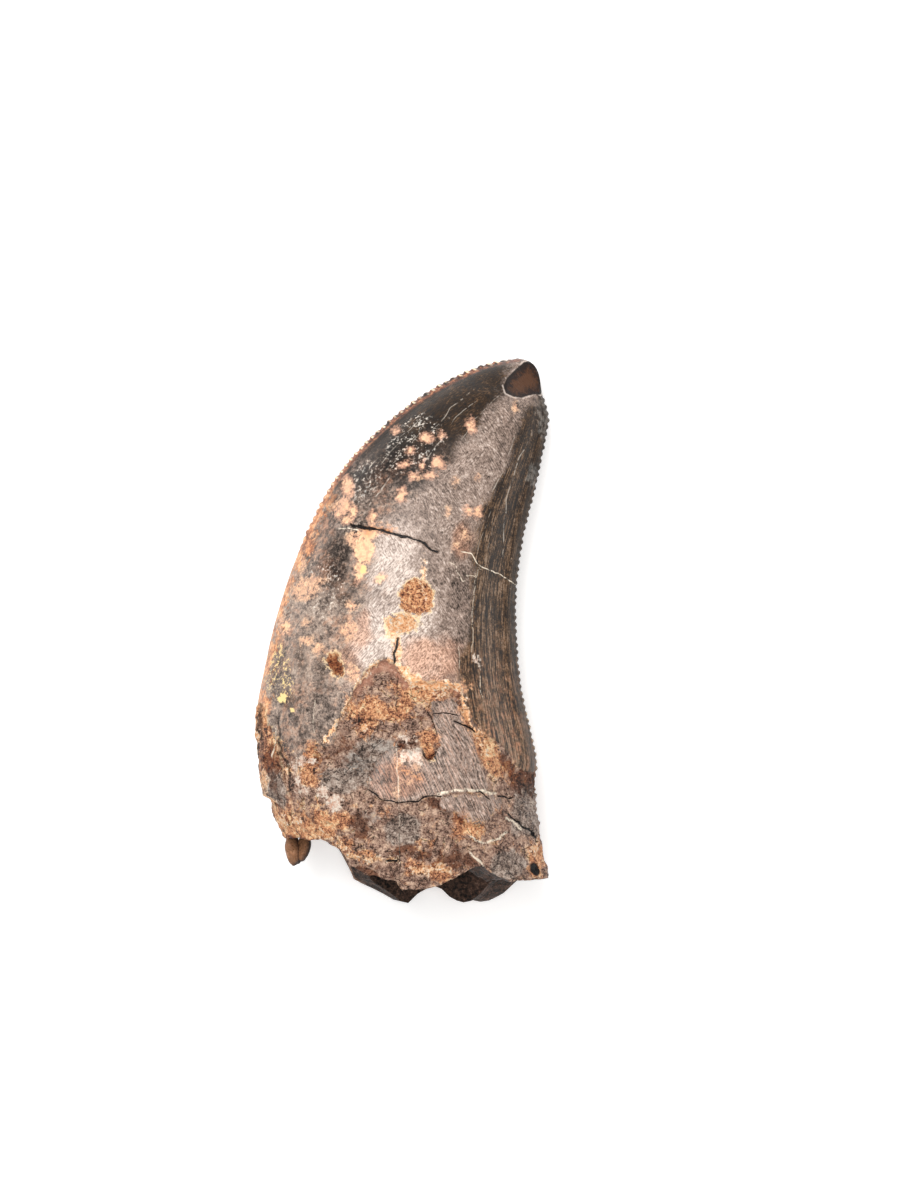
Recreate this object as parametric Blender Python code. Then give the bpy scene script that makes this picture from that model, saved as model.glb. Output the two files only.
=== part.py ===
"""A shed tyrannosaur tooth, 46 mm from the blunt tip to the broken root, lying on its side.

Blender 4.5. Metres, +Z up. The tooth lies on its flatter face with its tip towards +Y and its
front (mesial) cutting edge towards -X. The origin is the bottom centre of its footprint.
"""

import math

import bmesh
import bpy
from mathutils import Vector, noise

# All sizes below are millimetres and angles are degrees.
MM = 0.001

# The two cutting edges as seen from above, tip first, each down to its corner of the broken root.
FRONT_EDGE = [
    (9.7, 22.9), (5.7, 21.8), (1.25, 19.3), (-2.75, 15.95), (-5.6, 12.6), (-7.45, 9.25),
    (-8.95, 5.9), (-10.15, 2.55), (-11.2, -1.6), (-11.65, -5.3), (-11.6, -10.0),
    (-11.0, -13.9), (-10.5, -16.0), (-9.8, -17.4),
]
BACK_EDGE = [
    (9.7, 22.9), (10.8, 22.55), (11.45, 21.6), (11.8, 19.45), (12.2, 17.9), (11.95, 15.95),
    (11.05, 11.9), (10.05, 7.6), (9.45, 3.0), (9.55, -1.6), (9.9, -5.0), (10.8, -9.0),
    (11.2, -11.3), (10.95, -12.9), (11.2, -15.4), (11.7, -18.4), (12.2, -20.8),
]

# The broken root's rim, as (x, y), on the wall that faces up and on the wall that faces down.
UPPER_RIM = [
    (-9.8, -17.4), (-6.6, -17.4), (-5.1, -18.4), (-4.3, -19.6), (-3.0, -20.3), (-0.5, -20.8),
    (0.0, -21.5), (1.0, -21.7), (3.1, -21.3), (4.1, -20.7), (5.2, -20.1), (6.1, -19.6),
    (6.8, -19.7), (7.3, -20.2), (9.1, -21.0), (12.2, -20.8),
]
LOWER_RIM = [
    (-9.8, -17.4), (-6.4, -17.4), (-4.8, -19.0), (-4.3, -20.8), (-2.3, -21.6), (-0.6, -22.7),
    (0.2, -23.0), (0.9, -22.6), (1.4, -22.0), (3.2, -21.6), (4.2, -21.9), (5.3, -22.6),
    (6.6, -23.0), (7.8, -22.7), (8.9, -21.9), (9.5, -21.2), (12.2, -20.8),
]
RIM_STRETCH_FROM = 0.86  # the share of the length where the section starts to follow the rim

# The cross-section: thickness as a share of the width, and how it lies about the cutting edges.
TIP_THICKNESS, MIDDLE_THICKNESS, ROOT_THICKNESS = 0.5, 0.6, 0.64
UPPER_SHARE = 0.56
CROWN_EDGE_POWER, ROOT_EDGE_POWER = 0.74, 0.52  # a higher power is a keener cutting edge
UPPER_FLATNESS, LOWER_FLATNESS = 2.3, 2.7
BACK_HOLLOW = (0.84, 0.13, 0.12)  # place, half-width and depth beside the back cutting edge
FRONT_HOLLOW = (-0.9, 0.09, 0.05)  # the same beside the front cutting edge

# The underside: its lowest place, how far it is worn flat there, and how far the rest rises.
REST_AT, WORN_FLAT, UNDERSIDE_RISE, RISE_OVER = 0.66, 0.2, 1.4, 0.28

# The pulp cavity inside the root.
WALL_SIDE, WALL_FACE = 3.0, 2.6
CAVITY_ROOF_Y = -13.6
CAVITY_RINGS = 6

# The saw teeth (denticles), one to each ring of the mesh, and where they survive.
DENTICLE_HEIGHT = 0.17
FRONT_DENTICLES = (0.02, 0.5)
BACK_DENTICLES = (0.1, 0.93)

# The wear facet at the tip: a point on it, the way it faces and how far it is dished.
FACET_AT, FACET_FACES, FACET_DISH = (10.1, 20.9, 3.49), (0.7, 0.7, 1.0), 0.15
# The flake of enamel standing proud of the front edge: its two ends' y and its thickness.
FLAKE_FROM, FLAKE_TO, FLAKE_STEP, FLAKE_HEIGHT = -2.0, -14.3, 0.5, 0.6
# Pits in the upper face: (x, y, half-length in x, half-length in y, depth).
PITS = [
    (1.1, 2.8, 1.35, 1.5, 0.22),
    (0.1, 0.7, 1.0, 0.9, 0.12),
    (-5.6, -2.75, 0.45, 0.7, 0.22),
    (11.4, -20.2, 0.35, 0.6, 0.55),
    (-6.0, -13.5, 0.9, 0.5, 0.2),
]
# Where the enamel has flaked off above the root, and the island of enamel left in it.
FLAKED_BELOW = [
    (-12.3, -5.2), (-10.0, -9.6), (-8.4, -11.4), (-6.2, -9.6), (-4.6, -6.6), (-2.4, -3.3),
    (-0.3, -2.6), (0.9, -4.4), (4.9, -5.0), (5.8, -8.0), (7.4, -12.2), (8.4, -13.4),
    (12.3, -12.4),
]
ISLAND = [
    (2.7, -5.9), (4.7, -5.8), (6.5, -9.6), (7.2, -13.2), (3.3, -13.6), (-0.3, -14.3),
    (-2.6, -13.6), (-2.7, -12.0), (-1.3, -10.0), (1.4, -9.9), (2.9, -11.0), (2.5, -7.6),
]
FLAKE_DEPTH, FLAKE_SLOPE = 0.3, 0.45
CRUST_HEIGHT, CRUST_LUMP = 0.16, 1.5
ENAMEL_WAVE, ENAMEL_WAVELENGTH = 0.05, 5.0
ROOT_FROM_Y, ROOT_OVER = -12.0, 5.0

# A bead of ironstone stuck to the corner of the root: (x, y, z) and the three half-lengths.
BEAD_LOBES = [
    ((-9.05, -18.0, 5.3), (0.8, 1.95, 1.0)),
    ((-8.3, -18.05, 5.5), (0.8, 1.75, 0.95)),
]

# The mesh: rings along the tooth, one to a denticle, and stations round it.
RINGS = 78
UPPER_STATIONS, LOWER_STATIONS = 30, 18
STATIONS = UPPER_STATIONS + LOWER_STATIONS


def clamp(value, low=0.0, high=1.0):
    return max(low, min(high, value))


def smooth_step(low, high, value):
    share = clamp((value - low) / (high - low))
    return share * share * (3 - 2 * share)


def blend(start, end, share):
    return start + (end - start) * share


def curve_through(points, steps=12):
    """A smooth (Catmull-Rom) line through the points, as many short steps."""
    knots = [Vector(point) for point in points]
    knots = [2 * knots[0] - knots[1], *knots, 2 * knots[-1] - knots[-2]]
    line = []
    for before, start, end, after in zip(knots, knots[1:], knots[2:], knots[3:]):
        for step in range(steps):
            s = step / steps
            line.append(
                0.5 * (2 * start + (end - before) * s
                       + (2 * before - 5 * start + 4 * end - after) * s ** 2
                       + (3 * start - before - 3 * end + after) * s ** 3)
            )
    return [*line, knots[-2]]


def at_share(line, share):
    """The point at this share of the line's length."""
    lengths = [(b - a).length for a, b in zip(line, line[1:])]
    left = share * sum(lengths)
    for a, b, length in zip(line, line[1:], lengths):
        if left <= length:
            return a.lerp(b, left / length)
        left -= length
    return line[-1].copy()


def height_at(line, x):
    """The y of an open line of (x, y) points at this x."""
    if x <= line[0][0]:
        return line[0][1]
    for (x0, y0), (x1, y1) in zip(line, line[1:]):
        if x <= x1:
            return blend(y0, y1, (x - x0) / (x1 - x0))
    return line[-1][1]


def inside(polygon, x, y):
    """Whether (x, y) lies in the closed outline."""
    hit = False
    for (x0, y0), (x1, y1) in zip(polygon, polygon[1:] + polygon[:1]):
        if (y0 > y) != (y1 > y) and x < x0 + (y - y0) * (x1 - x0) / (y1 - y0):
            hit = not hit
    return hit


def edge_distance(polygon, x, y):
    """The distance from (x, y) to the outline."""
    point = Vector((x, y))
    nearest = math.inf
    for start, end in zip(polygon, polygon[1:] + polygon[:1]):
        a, b = Vector(start), Vector(end)
        share = clamp((point - a).dot(b - a) / (b - a).length_squared)
        nearest = min(nearest, (point - a.lerp(b, share)).length)
    return nearest


def thickness_at(share):
    """The full thickness over the width, from tip (0) to root (1)."""
    if share < 0.5:
        return blend(TIP_THICKNESS, MIDDLE_THICKNESS, smooth_step(0, 0.5, share))
    return blend(MIDDLE_THICKNESS, ROOT_THICKNESS, smooth_step(0.5, 1, share))


def underside_at(share):
    """The height of the lowest line of the tooth above the surface that it lies on."""
    away = (share - REST_AT) / RISE_OVER
    return UNDERSIDE_RISE * (1 - math.exp(-away * away)) - WORN_FLAT


def dip(u, hollow):
    place, width, depth = hollow
    return depth * math.exp(-(((u - place) / width) ** 2))


def section_height(u, share, upper):
    """The section's height, 0 to 1, at u, which runs from -1 at the front edge to 1 at the back."""
    power = blend(CROWN_EDGE_POWER, ROOT_EDGE_POWER, smooth_step(0.6, 0.95, share))
    flatness = UPPER_FLATNESS if upper else LOWER_FLATNESS
    height = max(0.0, 1 - abs(u) ** flatness) ** power
    fade = 1 - smooth_step(0.75, 0.95, share)
    hollows = dip(u, BACK_HOLLOW) + dip(u, FRONT_HOLLOW)
    return max(0.0, height - hollows * fade * (1 if upper else 0.6) * min(1, 3 * height))


def flaked(x, y):
    """How far below the enamel the surface is, 0 to 1, where the enamel is lost."""
    below = smooth_step(0, FLAKE_SLOPE, height_at(FLAKED_BELOW, x) - y)
    if not inside(ISLAND, x, y):
        return below
    return below * (1 - smooth_step(0, FLAKE_SLOPE, edge_distance(ISLAND, x, y)))


def facet_height(point):
    """The z of the wear facet's dished face under or over this point."""
    offset = point - Vector(FACET_AT)
    normal = Vector(FACET_FACES)
    plane = FACET_AT[2] - (normal.x * offset.x + normal.y * offset.y) / normal.z
    return plane - FACET_DISH * max(0.0, 1 - (offset.x ** 2 + offset.y ** 2) / 3)


def flake(u, y):
    """How far the flake at the front edge stands proud."""
    near_edge = smooth_step(-0.8, -0.95, u)
    along = smooth_step(FLAKE_FROM, FLAKE_FROM - 6, y)
    return FLAKE_HEIGHT * near_edge * along * smooth_step(FLAKE_TO, FLAKE_TO + FLAKE_STEP, y)


def upper_relief(x, y):
    """How far pits and flaked enamel sink the upper face at (x, y)."""
    depth = FLAKE_DEPTH * flaked(x, y)
    for px, py, rx, ry, deep in PITS:
        reach = 1 - ((x - px) / rx) ** 2 - ((y - py) / ry) ** 2
        if reach > 0:
            depth += deep * math.sqrt(reach)
    return depth


def crust(point, upper):
    """The lumps of the root and of the flaked face, and the slight waves of the enamel."""
    root = smooth_step(ROOT_FROM_Y, ROOT_FROM_Y - ROOT_OVER, point.y)
    rough = max(root, flaked(point.x, point.y)) if upper else root
    lumps = noise.fractal(point / CRUST_LUMP, 0.8, 2.1, 3)
    waves = noise.noise(point / ENAMEL_WAVELENGTH)
    return CRUST_HEIGHT * rough * lumps + ENAMEL_WAVE * waves


def station_of(index):
    """(u, upper) of a station: 0 is the front cutting edge, UPPER_STATIONS the back one."""
    upper = index <= UPPER_STATIONS
    share = index / UPPER_STATIONS if upper else (STATIONS - index) / LOWER_STATIONS
    return ((2 * share - 1) - math.cos(math.pi * share)) / 2, upper


class Section:
    """One cross-section: its two cutting edges and how far it reaches above and below them."""

    def __init__(self, share, front, back):
        self.share, self.front, self.back = share, front, back
        self.width = (back - front).length
        thick = self.width * thickness_at(share)
        self.above, self.below = thick * UPPER_SHARE, thick * (1 - UPPER_SHARE)
        self.middle = underside_at(share) + self.below

    def chord_point(self, u):
        return self.front.lerp(self.back, (u + 1) / 2)


class Tooth:
    """Places every ring of the tooth's skin."""

    def __init__(self):
        self.front = curve_through(FRONT_EDGE)
        self.back = curve_through(BACK_EDGE)
        self.root = self.section(1)

    def section(self, share):
        return Section(share, at_share(self.front, share), at_share(self.back, share))

    def skin(self, section, index):
        """A point of the skin with the relief of the real surface."""
        u, upper = station_of(index)
        height = section_height(u, section.share, upper)
        flat = section.chord_point(u)
        stretch = smooth_step(RIM_STRETCH_FROM, 1, section.share)
        end = self.root.chord_point(u)
        rim = height_at(UPPER_RIM if upper else LOWER_RIM, end.x)
        flat.y += (rim - end.y) * stretch
        rise = height * (section.above if upper else -section.below)
        point = Vector((flat.x, flat.y, section.middle + rise))
        outward = Vector((0.6 * u, 0, height if upper else -height)).normalized()
        point += outward * crust(point, upper) * smooth_step(0, 4, section.width)
        point.x -= flake(u, point.y)
        if upper:
            point.z -= upper_relief(point.x, point.y) * (1 - abs(u) ** 8)
            point.z = min(point.z, max(facet_height(point), section.middle))
        return point

    def rim(self, index, inward, lift):
        """A point of the broken edge: inward is 0 at the skin and 1 at the pulp cavity."""
        root = self.root
        skin = self.skin(root, index)
        centre = root.chord_point(0)
        along = 1 - inward * WALL_SIDE / (root.width / 2)
        through = 1 - inward * WALL_FACE / ((root.above + root.below) / 2)
        return Vector((
            centre.x + (skin.x - centre.x) * along,
            skin.y + lift,
            root.middle + (skin.z - root.middle) * through,
        ))

    def cavity(self, depth, index):
        """A point of the pulp cavity's wall: depth is 0 at the broken edge and 1 at its roof."""
        mouth = self.rim(index, 1, 0)
        size = math.sqrt(1 - depth * depth)
        return Vector((
            blend(self.root.chord_point(0).x, mouth.x, size),
            blend(mouth.y, CAVITY_ROOF_Y, depth),
            blend(self.root.middle, mouth.z, size),
        ))


def extrude_ring(bm, ring):
    """Extrudes a closed ring of vertices and returns the new one in the same order."""
    edges = [bm.edges.get((a, b)) for a, b in zip(ring, ring[1:] + ring[:1])]
    made = bmesh.ops.extrude_edge_only(bm, edges=edges)["geom"]
    fresh = {item for item in made if isinstance(item, bmesh.types.BMVert)}
    return [
        next(edge.other_vert(old) for edge in old.link_edges if edge.other_vert(old) in fresh)
        for old in ring
    ]


def place(ring, points):
    for vert, point in zip(ring, points):
        vert.co = point * MM


def loft(bm, rings):
    """Extrudes a circle through the rings of points and returns every ring of vertices."""
    made = bmesh.ops.create_circle(bm, segments=STATIONS, radius=1)["verts"]
    rows = [made]
    place(made, rings[0])
    for points in rings[1:]:
        rows.append(extrude_ring(bm, rows[-1]))
        place(rows[-1], points)
    return rows


def raise_denticles(bm, rows, station, span):
    """Splits the cutting edge between rings and lifts each middle point into a denticle."""
    for before, after, number in zip(rows, rows[1:], range(1, RINGS)):
        if not span[0] <= number / RINGS <= span[1]:
            continue
        start, end = before[station].co.copy(), after[station].co.copy()
        along = (end - start).normalized()
        outward = Vector((along.y, -along.x, 0)).normalized()
        if station == 0:
            outward = -outward
        edge = bm.edges.get((before[station], after[station]))
        peak = bmesh.utils.edge_split(edge, before[station], 0.5)[1]
        wear = 0.75 + 0.25 * noise.noise(peak.co / (3 * MM))
        peak.co += outward * (DENTICLE_HEIGHT * wear * MM)


def wear_flat(bm):
    """Cuts the underside off at the height of the surface that it lies on."""
    cut = bmesh.ops.bisect_plane(
        bm, geom=[*bm.verts, *bm.edges, *bm.faces],
        plane_co=(0, 0, 0), plane_no=(0, 0, -1), clear_outer=True, dist=1e-7,
    )["geom_cut"]
    bmesh.ops.contextual_create(
        bm, geom=[item for item in cut if isinstance(item, bmesh.types.BMEdge)]
    )


def make_tooth():
    """The whole tooth as one skin: tip, crown, root, broken edge and pulp cavity."""
    tooth = Tooth()
    around = range(STATIONS)
    sections = [tooth.section(ring / RINGS) for ring in range(RINGS + 1)]
    skin = [[tooth.skin(section, i) for i in around] for section in sections]
    edge = [[tooth.rim(i, 0.5, 0.25) for i in around]]
    hollow = [
        [tooth.cavity(ring / CAVITY_RINGS, i) for i in around] for ring in range(CAVITY_RINGS + 1)
    ]
    bm = bmesh.new()
    rows = loft(bm, skin + edge + hollow)
    for station, span in ((0, FRONT_DENTICLES), (UPPER_STATIONS, BACK_DENTICLES)):
        raise_denticles(bm, rows[1:RINGS + 1], station, span)
    for pole in (rows[0], rows[-1]):
        middle = sum((vert.co for vert in pole), Vector()) / len(pole)
        bmesh.ops.pointmerge(bm, verts=pole, merge_co=middle)
    wear_flat(bm)
    bmesh.ops.recalc_face_normals(bm, faces=bm.faces)
    mesh = bpy.data.meshes.new("tooth")
    bm.to_mesh(mesh)
    bm.free()
    return bpy.data.objects.new("tooth", mesh)


def make_bead(number, centre, half_lengths):
    """One lobe of the bead at the root's corner, a ball scaled to its half-lengths."""
    bm = bmesh.new()
    bmesh.ops.create_icosphere(bm, subdivisions=2, radius=1)
    for vert in bm.verts:
        lump = 1 + 0.12 * noise.noise(vert.co * 1.7 + Vector((number * 3.1, 0, 0)))
        scaled = Vector(c * h * lump for c, h in zip(vert.co, half_lengths))
        vert.co = (Vector(centre) + scaled) * MM
    mesh = bpy.data.meshes.new(f"bead_lobe_{number}")
    bm.to_mesh(mesh)
    bm.free()
    return bpy.data.objects.new(mesh.name, mesh)


def fuse(body, lobe):
    """Joins a lobe to the tooth as one solid."""
    modifier = body.modifiers.new(f"fuse {lobe.name}", "BOOLEAN")
    modifier.operation = "UNION"
    modifier.object = lobe
    lobe.hide_render = True
    lobe.display_type = "WIRE"


def fossil_finish():
    """Brown mineral-stained enamel."""
    material = bpy.data.materials.new("fossil enamel")
    material.use_nodes = True
    shader = material.node_tree.nodes["Principled BSDF"]
    shader.inputs["Base Color"].default_value = (0.16, 0.105, 0.075, 1)
    shader.inputs["Roughness"].default_value = 0.42
    shader.inputs["Metallic"].default_value = 0.0
    return material


def centre_on_footprint(objects):
    """Bakes a shift into the meshes so that the tooth's box stands centred on the origin."""
    body = objects[0]
    bpy.context.view_layer.update()
    evaluated = body.evaluated_get(bpy.context.evaluated_depsgraph_get())
    corners = [Vector(corner) for corner in evaluated.bound_box]
    low = Vector(min(c[i] for c in corners) for i in range(3))
    high = Vector(max(c[i] for c in corners) for i in range(3))
    shift = Vector((-(low.x + high.x) / 2, -(low.y + high.y) / 2, -low.z))
    for item in objects:
        for vert in item.data.vertices:
            vert.co += shift


def collection_named(name):
    found = bpy.data.collections.new(name)
    bpy.context.scene.collection.children.link(found)
    return found


def main():
    for item in list(bpy.data.objects):
        bpy.data.objects.remove(item)
    parts = collection_named("tyrannosaur tooth")
    helpers = collection_named("fused lobes")
    tooth = make_tooth()
    tooth.data.materials.append(fossil_finish())
    parts.objects.link(tooth)
    lobes = [make_bead(number, *lobe) for number, lobe in enumerate(BEAD_LOBES)]
    for lobe in lobes:
        helpers.objects.link(lobe)
        fuse(tooth, lobe)
    centre_on_footprint([tooth, *lobes])
    tooth.data.shade_smooth()
    tooth.data.set_sharp_from_angle(angle=math.radians(40))


main()
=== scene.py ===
"""A shed tyrannosaur tooth lying on its side: its fine surface, its finish and a studio stage.

Blender 4.5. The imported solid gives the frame: metres, +Z up, tip towards +Y and front (mesial)
cutting edge towards -X. The outlines and marks below are millimetres, as seen from above, in
the drawing frame of the tooth, whose origin is a little off the middle of its footprint.
"""

import math

import bpy
import numpy as np
from bpy.props import FloatProperty, FloatVectorProperty, PointerProperty
from mathutils import Matrix, Vector, noise


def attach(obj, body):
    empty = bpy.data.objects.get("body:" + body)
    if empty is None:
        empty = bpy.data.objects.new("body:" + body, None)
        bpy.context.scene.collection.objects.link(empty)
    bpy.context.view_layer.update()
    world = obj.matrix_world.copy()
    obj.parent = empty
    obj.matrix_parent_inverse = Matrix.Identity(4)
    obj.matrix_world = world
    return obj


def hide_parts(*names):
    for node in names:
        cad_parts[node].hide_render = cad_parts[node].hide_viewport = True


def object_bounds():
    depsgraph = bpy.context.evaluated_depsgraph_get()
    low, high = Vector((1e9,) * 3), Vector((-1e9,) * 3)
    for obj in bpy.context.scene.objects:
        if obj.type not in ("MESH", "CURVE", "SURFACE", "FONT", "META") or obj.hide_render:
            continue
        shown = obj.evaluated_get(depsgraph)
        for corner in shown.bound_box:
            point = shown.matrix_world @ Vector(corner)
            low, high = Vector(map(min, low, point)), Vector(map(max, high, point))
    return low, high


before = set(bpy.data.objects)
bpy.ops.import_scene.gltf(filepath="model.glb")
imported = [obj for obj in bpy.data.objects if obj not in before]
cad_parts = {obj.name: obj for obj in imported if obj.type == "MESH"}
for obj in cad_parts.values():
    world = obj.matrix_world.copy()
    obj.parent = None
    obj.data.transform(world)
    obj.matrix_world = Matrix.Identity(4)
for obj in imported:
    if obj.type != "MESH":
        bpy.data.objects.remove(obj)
SOLID_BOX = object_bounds()

bl_info = {
    "name": "Fossil Tyrannosaur Tooth",
    "version": (1, 0, 0),
    "blender": (4, 5, 0),
    "location": "3D View > Sidebar > Fossil Tooth",
    "description": "Adds a fossil tyrannosaur tooth lying on its side, and a stage for it",
    "category": "Add Mesh",
}

MM = 0.001
PIECE = "fossil_tooth"
UV_MAP = "OFBake"

# The two cutting edges, tip first, each down to its corner of the broken root.
FRONT_EDGE = [
    (9.7, 22.9), (5.7, 21.8), (1.25, 19.3), (-2.75, 15.95), (-5.6, 12.6), (-7.45, 9.25),
    (-8.95, 5.9), (-10.15, 2.55), (-11.2, -1.6), (-11.65, -5.3), (-11.6, -10.0), (-11.0, -13.9),
    (-10.5, -16.0), (-9.8, -17.4),
]
BACK_EDGE = [
    (9.7, 22.9), (10.8, 22.55), (11.45, 21.6), (11.8, 19.45), (12.2, 17.9), (11.95, 15.95),
    (11.05, 11.9), (10.05, 7.6), (9.45, 3.0), (9.55, -1.6), (9.9, -5.0), (10.8, -9.0),
    (11.2, -11.3), (10.95, -12.9), (11.2, -15.4), (11.7, -18.4), (12.2, -20.8),
]

# The broken root's rim on the wall that faces up and on the wall that faces down.
UPPER_RIM = [
    (-9.8, -17.4), (-6.6, -17.4), (-5.1, -18.4), (-4.3, -19.6), (-3.0, -20.3), (-0.5, -20.8),
    (0.0, -21.5), (1.0, -21.7), (3.1, -21.3), (4.1, -20.7), (5.2, -20.1), (6.1, -19.6),
    (6.8, -19.7), (7.3, -20.2), (9.1, -21.0), (12.2, -20.8),
]
LOWER_RIM = [
    (-9.8, -17.4), (-6.4, -17.4), (-4.7, -19.4), (-4.2, -21.1), (-2.3, -21.9), (-0.6, -22.9),
    (0.2, -23.0), (0.9, -22.6), (1.4, -22.0), (3.2, -21.6), (4.2, -21.9), (5.3, -22.6),
    (6.6, -23.0), (7.8, -22.7), (8.9, -21.9), (9.5, -21.2), (12.2, -20.8),
]
RIM_STRETCH_FROM = 0.86  # the share of the length where the section starts to follow the rim

# The cross-section: thickness as a share of the width, and how it lies about the edges.
TIP_THICKNESS, MIDDLE_THICKNESS, ROOT_THICKNESS = 0.5, 0.6, 0.64
UPPER_SHARE = 0.56
CROWN_EDGE_POWER, ROOT_EDGE_POWER = 0.74, 0.52
UPPER_FLATNESS, LOWER_FLATNESS = 2.3, 2.7
BACK_HOLLOW, FRONT_HOLLOW = (0.84, 0.13, 0.12), (-0.9, 0.09, 0.05)  # (place, width, depth)
UNDER_HOLLOW = 0.6  # how deep the hollows are underneath, as a share of those above
# The underside rests at this share of the length, where this much is worn off it, and rises
# by this much over this share.
REST_AT, WORN_FLAT, UNDERSIDE_RISE, RISE_OVER = 0.66, 0.2, 1.4, 0.28
# The root's wall is this thick at its sides and its faces, and the pulp cavity ends at this y.
WALL_SIDE, WALL_FACE, CAVITY_ROOF_Y = 3.0, 2.6, -13.6

# The saw teeth (denticles): how many to the full length, and the shares where they survive.
DENTICLES = 78
FRONT_DENTICLES, BACK_DENTICLES = (0.02, 0.5), (0.1, 0.93)
DENTICLE_REACH = 0.75  # how far up the face from the edge a denticle fades out
DENTICLE_BLUNTNESS, DENTICLE_ROOT = 0.8, 0.2  # under 1 is blunter; the notches' depth
KEEL_WIDTH = (1.5, 1.0)  # the saw's keel ends and is full at these distances from its edge

# The wear facet at the tip: a point on it, the way it faces, its dish and its outline.
FACET_AT, FACET_FACES, FACET_DISH = (10.1, 20.9, 3.49), (0.7, 0.7, 1.0), 0.15
FACET = [
    (10.2, 22.5), (9.6, 22.0), (8.8, 21.2), (8.5, 20.5), (8.7, 19.9), (9.3, 19.6), (10.0, 19.5),
    (11.0, 19.8), (11.6, 19.8), (11.9, 20.5), (11.5, 21.9), (10.7, 22.7),
]
# The flake of enamel that stands proud of the front edge: its ends' y, step and thickness.
FLAKE_FROM, FLAKE_TO, FLAKE_STEP, FLAKE_HEIGHT = -2.0, -14.3, 0.5, 0.6

# Pits in the upper face: (x, y, half-length in x, half-length in y, depth).
PITS = [
    (1.2, 2.7, 1.42, 1.5, 0.24), (0.0, 0.5, 1.25, 0.8, 0.1), (-5.75, -2.6, 0.6, 0.72, 0.25),
    (-5.3, -3.3, 0.42, 0.6, 0.22), (11.0, -20.0, 0.45, 0.62, 0.8), (2.25, -10.2, 0.45, 0.6, 0.3),
]
# Where the enamel is lost above the root, and what is left of it there.
BARE = [
    (-14.0, -5.0), (-11.1, -6.3), (-10.6, -8.0), (-10.1, -9.2), (-9.4, -10.2), (-8.6, -10.7),
    (-7.9, -9.8), (-7.1, -9.4), (-6.4, -9.7), (-5.9, -9.5), (-5.4, -8.8), (-5.5, -8.3),
    (-5.4, -7.6), (-5.1, -7.0), (-4.3, -5.8), (-4.0, -4.9), (-3.5, -4.0), (-3.0, -3.3),
    (-2.2, -2.8), (-1.4, -2.4), (-0.7, -2.7), (-0.3, -3.3), (0.1, -3.7), (0.7, -4.2), (1.7, -4.4),
    (2.7, -4.3), (3.6, -4.5), (4.5, -4.4), (4.97, -5.07), (4.97, -5.9), (5.06, -6.4), (5.7, -7.7),
    (6.07, -8.5), (6.6, -8.6), (7.25, -8.97), (8.0, -9.3), (8.6, -9.9), (9.1, -10.7), (9.5, -11.4),
    (10.2, -11.8), (11.0, -11.9), (14.0, -12.4), (14.0, -26.0), (-14.0, -26.0),
]
ISLANDS = [
    [
        (2.5, -5.9), (3.3, -5.85), (4.06, -5.75), (4.6, -6.2), (4.9, -6.9), (5.45, -8.0),
        (5.85, -8.9), (6.15, -9.8), (6.45, -11.0), (6.8, -12.0), (7.2, -13.0), (7.5, -13.5),
        (6.4, -13.4), (5.4, -13.3), (4.5, -13.4), (3.2, -13.7), (2.2, -13.8), (1.7, -14.0),
        (1.3, -14.3), (0.3, -14.3), (-0.9, -14.3), (-1.8, -14.0), (-2.6, -13.4), (-2.75, -12.7),
        (-2.7, -12.0), (-2.3, -11.0), (-1.5, -10.2), (-0.6, -9.9), (0.6, -10.0), (1.5, -9.8),
        (1.9, -10.4), (2.3, -10.9), (2.8, -10.3), (3.2, -9.5), (2.9, -8.7), (2.7, -7.7),
        (2.5, -6.6),
    ],
    [
        (3.2, -13.9), (5.0, -13.6), (7.6, -13.8), (8.2, -14.0), (8.1, -14.9), (6.9, -16.0),
        (5.65, -16.0), (4.4, -15.0), (3.3, -14.9),
    ],
]
LEDGE_SLOPE = 0.22  # how wide the slope is from the enamel down to the bare ground
UNDER_LEDGE = 0.6  # the ledge's depth underneath, as a share of that above
CRACK_GROOVE = 2  # a crack's groove is this many times as wide as its line

# The relief of the crust and the enamel. The grains are (share, wavelength, seed).
ROOT_FROM_Y, ROOT_OVER = -12.0, 5.0
CRUST_LUMP, ENAMEL_WAVELENGTH = 1.5, 5.0
GRAINS = ((1.0, 1.2, 8.0), (1.0, 0.6, 6.0), (0.6, 0.3, 7.0))

# How far things stray from their drawn places: (reach, wavelength), coarse to fine.
RIM_RAGGED = ((0.16, 0.9), (0.09, 0.33))
MARKS_RAGGED = ((0.16, 0.8), (0.08, 0.3))
LINES_RAGGED = ((0.14, 0.7),)
PATCHES_RAGGED = ((0.5, 1.6),)
BREAK_RAGGED = ((0.3, 1.1), (0.12, 0.4))

# Where the dark front of the crown meets its grey middle, and where the grained back begins.
SMOKE_LINE = [
    (8.9, 23.0), (8.88, 21.66), (8.63, 19.74), (6.7, 17.81), (5.03, 15.96), (3.85, 14.12),
    (2.35, 12.78), (0.84, 11.19), (-0.59, 10.27), (-1.84, 9.26), (-2.85, 8.0), (-2.51, 5.91),
    (-3.1, 4.23), (-2.51, 2.56), (-4.36, 0.71), (-4.19, -0.8), (-5.36, -2.05), (-4.78, -4.99),
    (-5.61, -7.5), (-6.45, -9.18), (-6.5, -24.0),
]
BAND_LINE = [
    (11.6, 23.0), (11.3, 19.0), (10.4, 18.0), (9.95, 16.97), (9.05, 13.79), (8.02, 12.14),
    (7.46, 11.02), (6.87, 9.7), (6.4, 8.09), (6.29, 5.61), (6.03, 4.27), (5.83, 2.39),
    (5.78, -0.96), (4.94, -2.4), (4.94, -4.4), (5.06, -6.24), (5.7, -7.17), (6.34, -8.5),
    (6.9, -10.0), (7.3, -12.4), (7.6, -13.4), (14, -13.8), (14, -24.0),
]
SMOKE_BLEND, BAND_BLEND = (-2.2, 2.0), (-1.3, 0.8)  # how wide each change is

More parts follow.
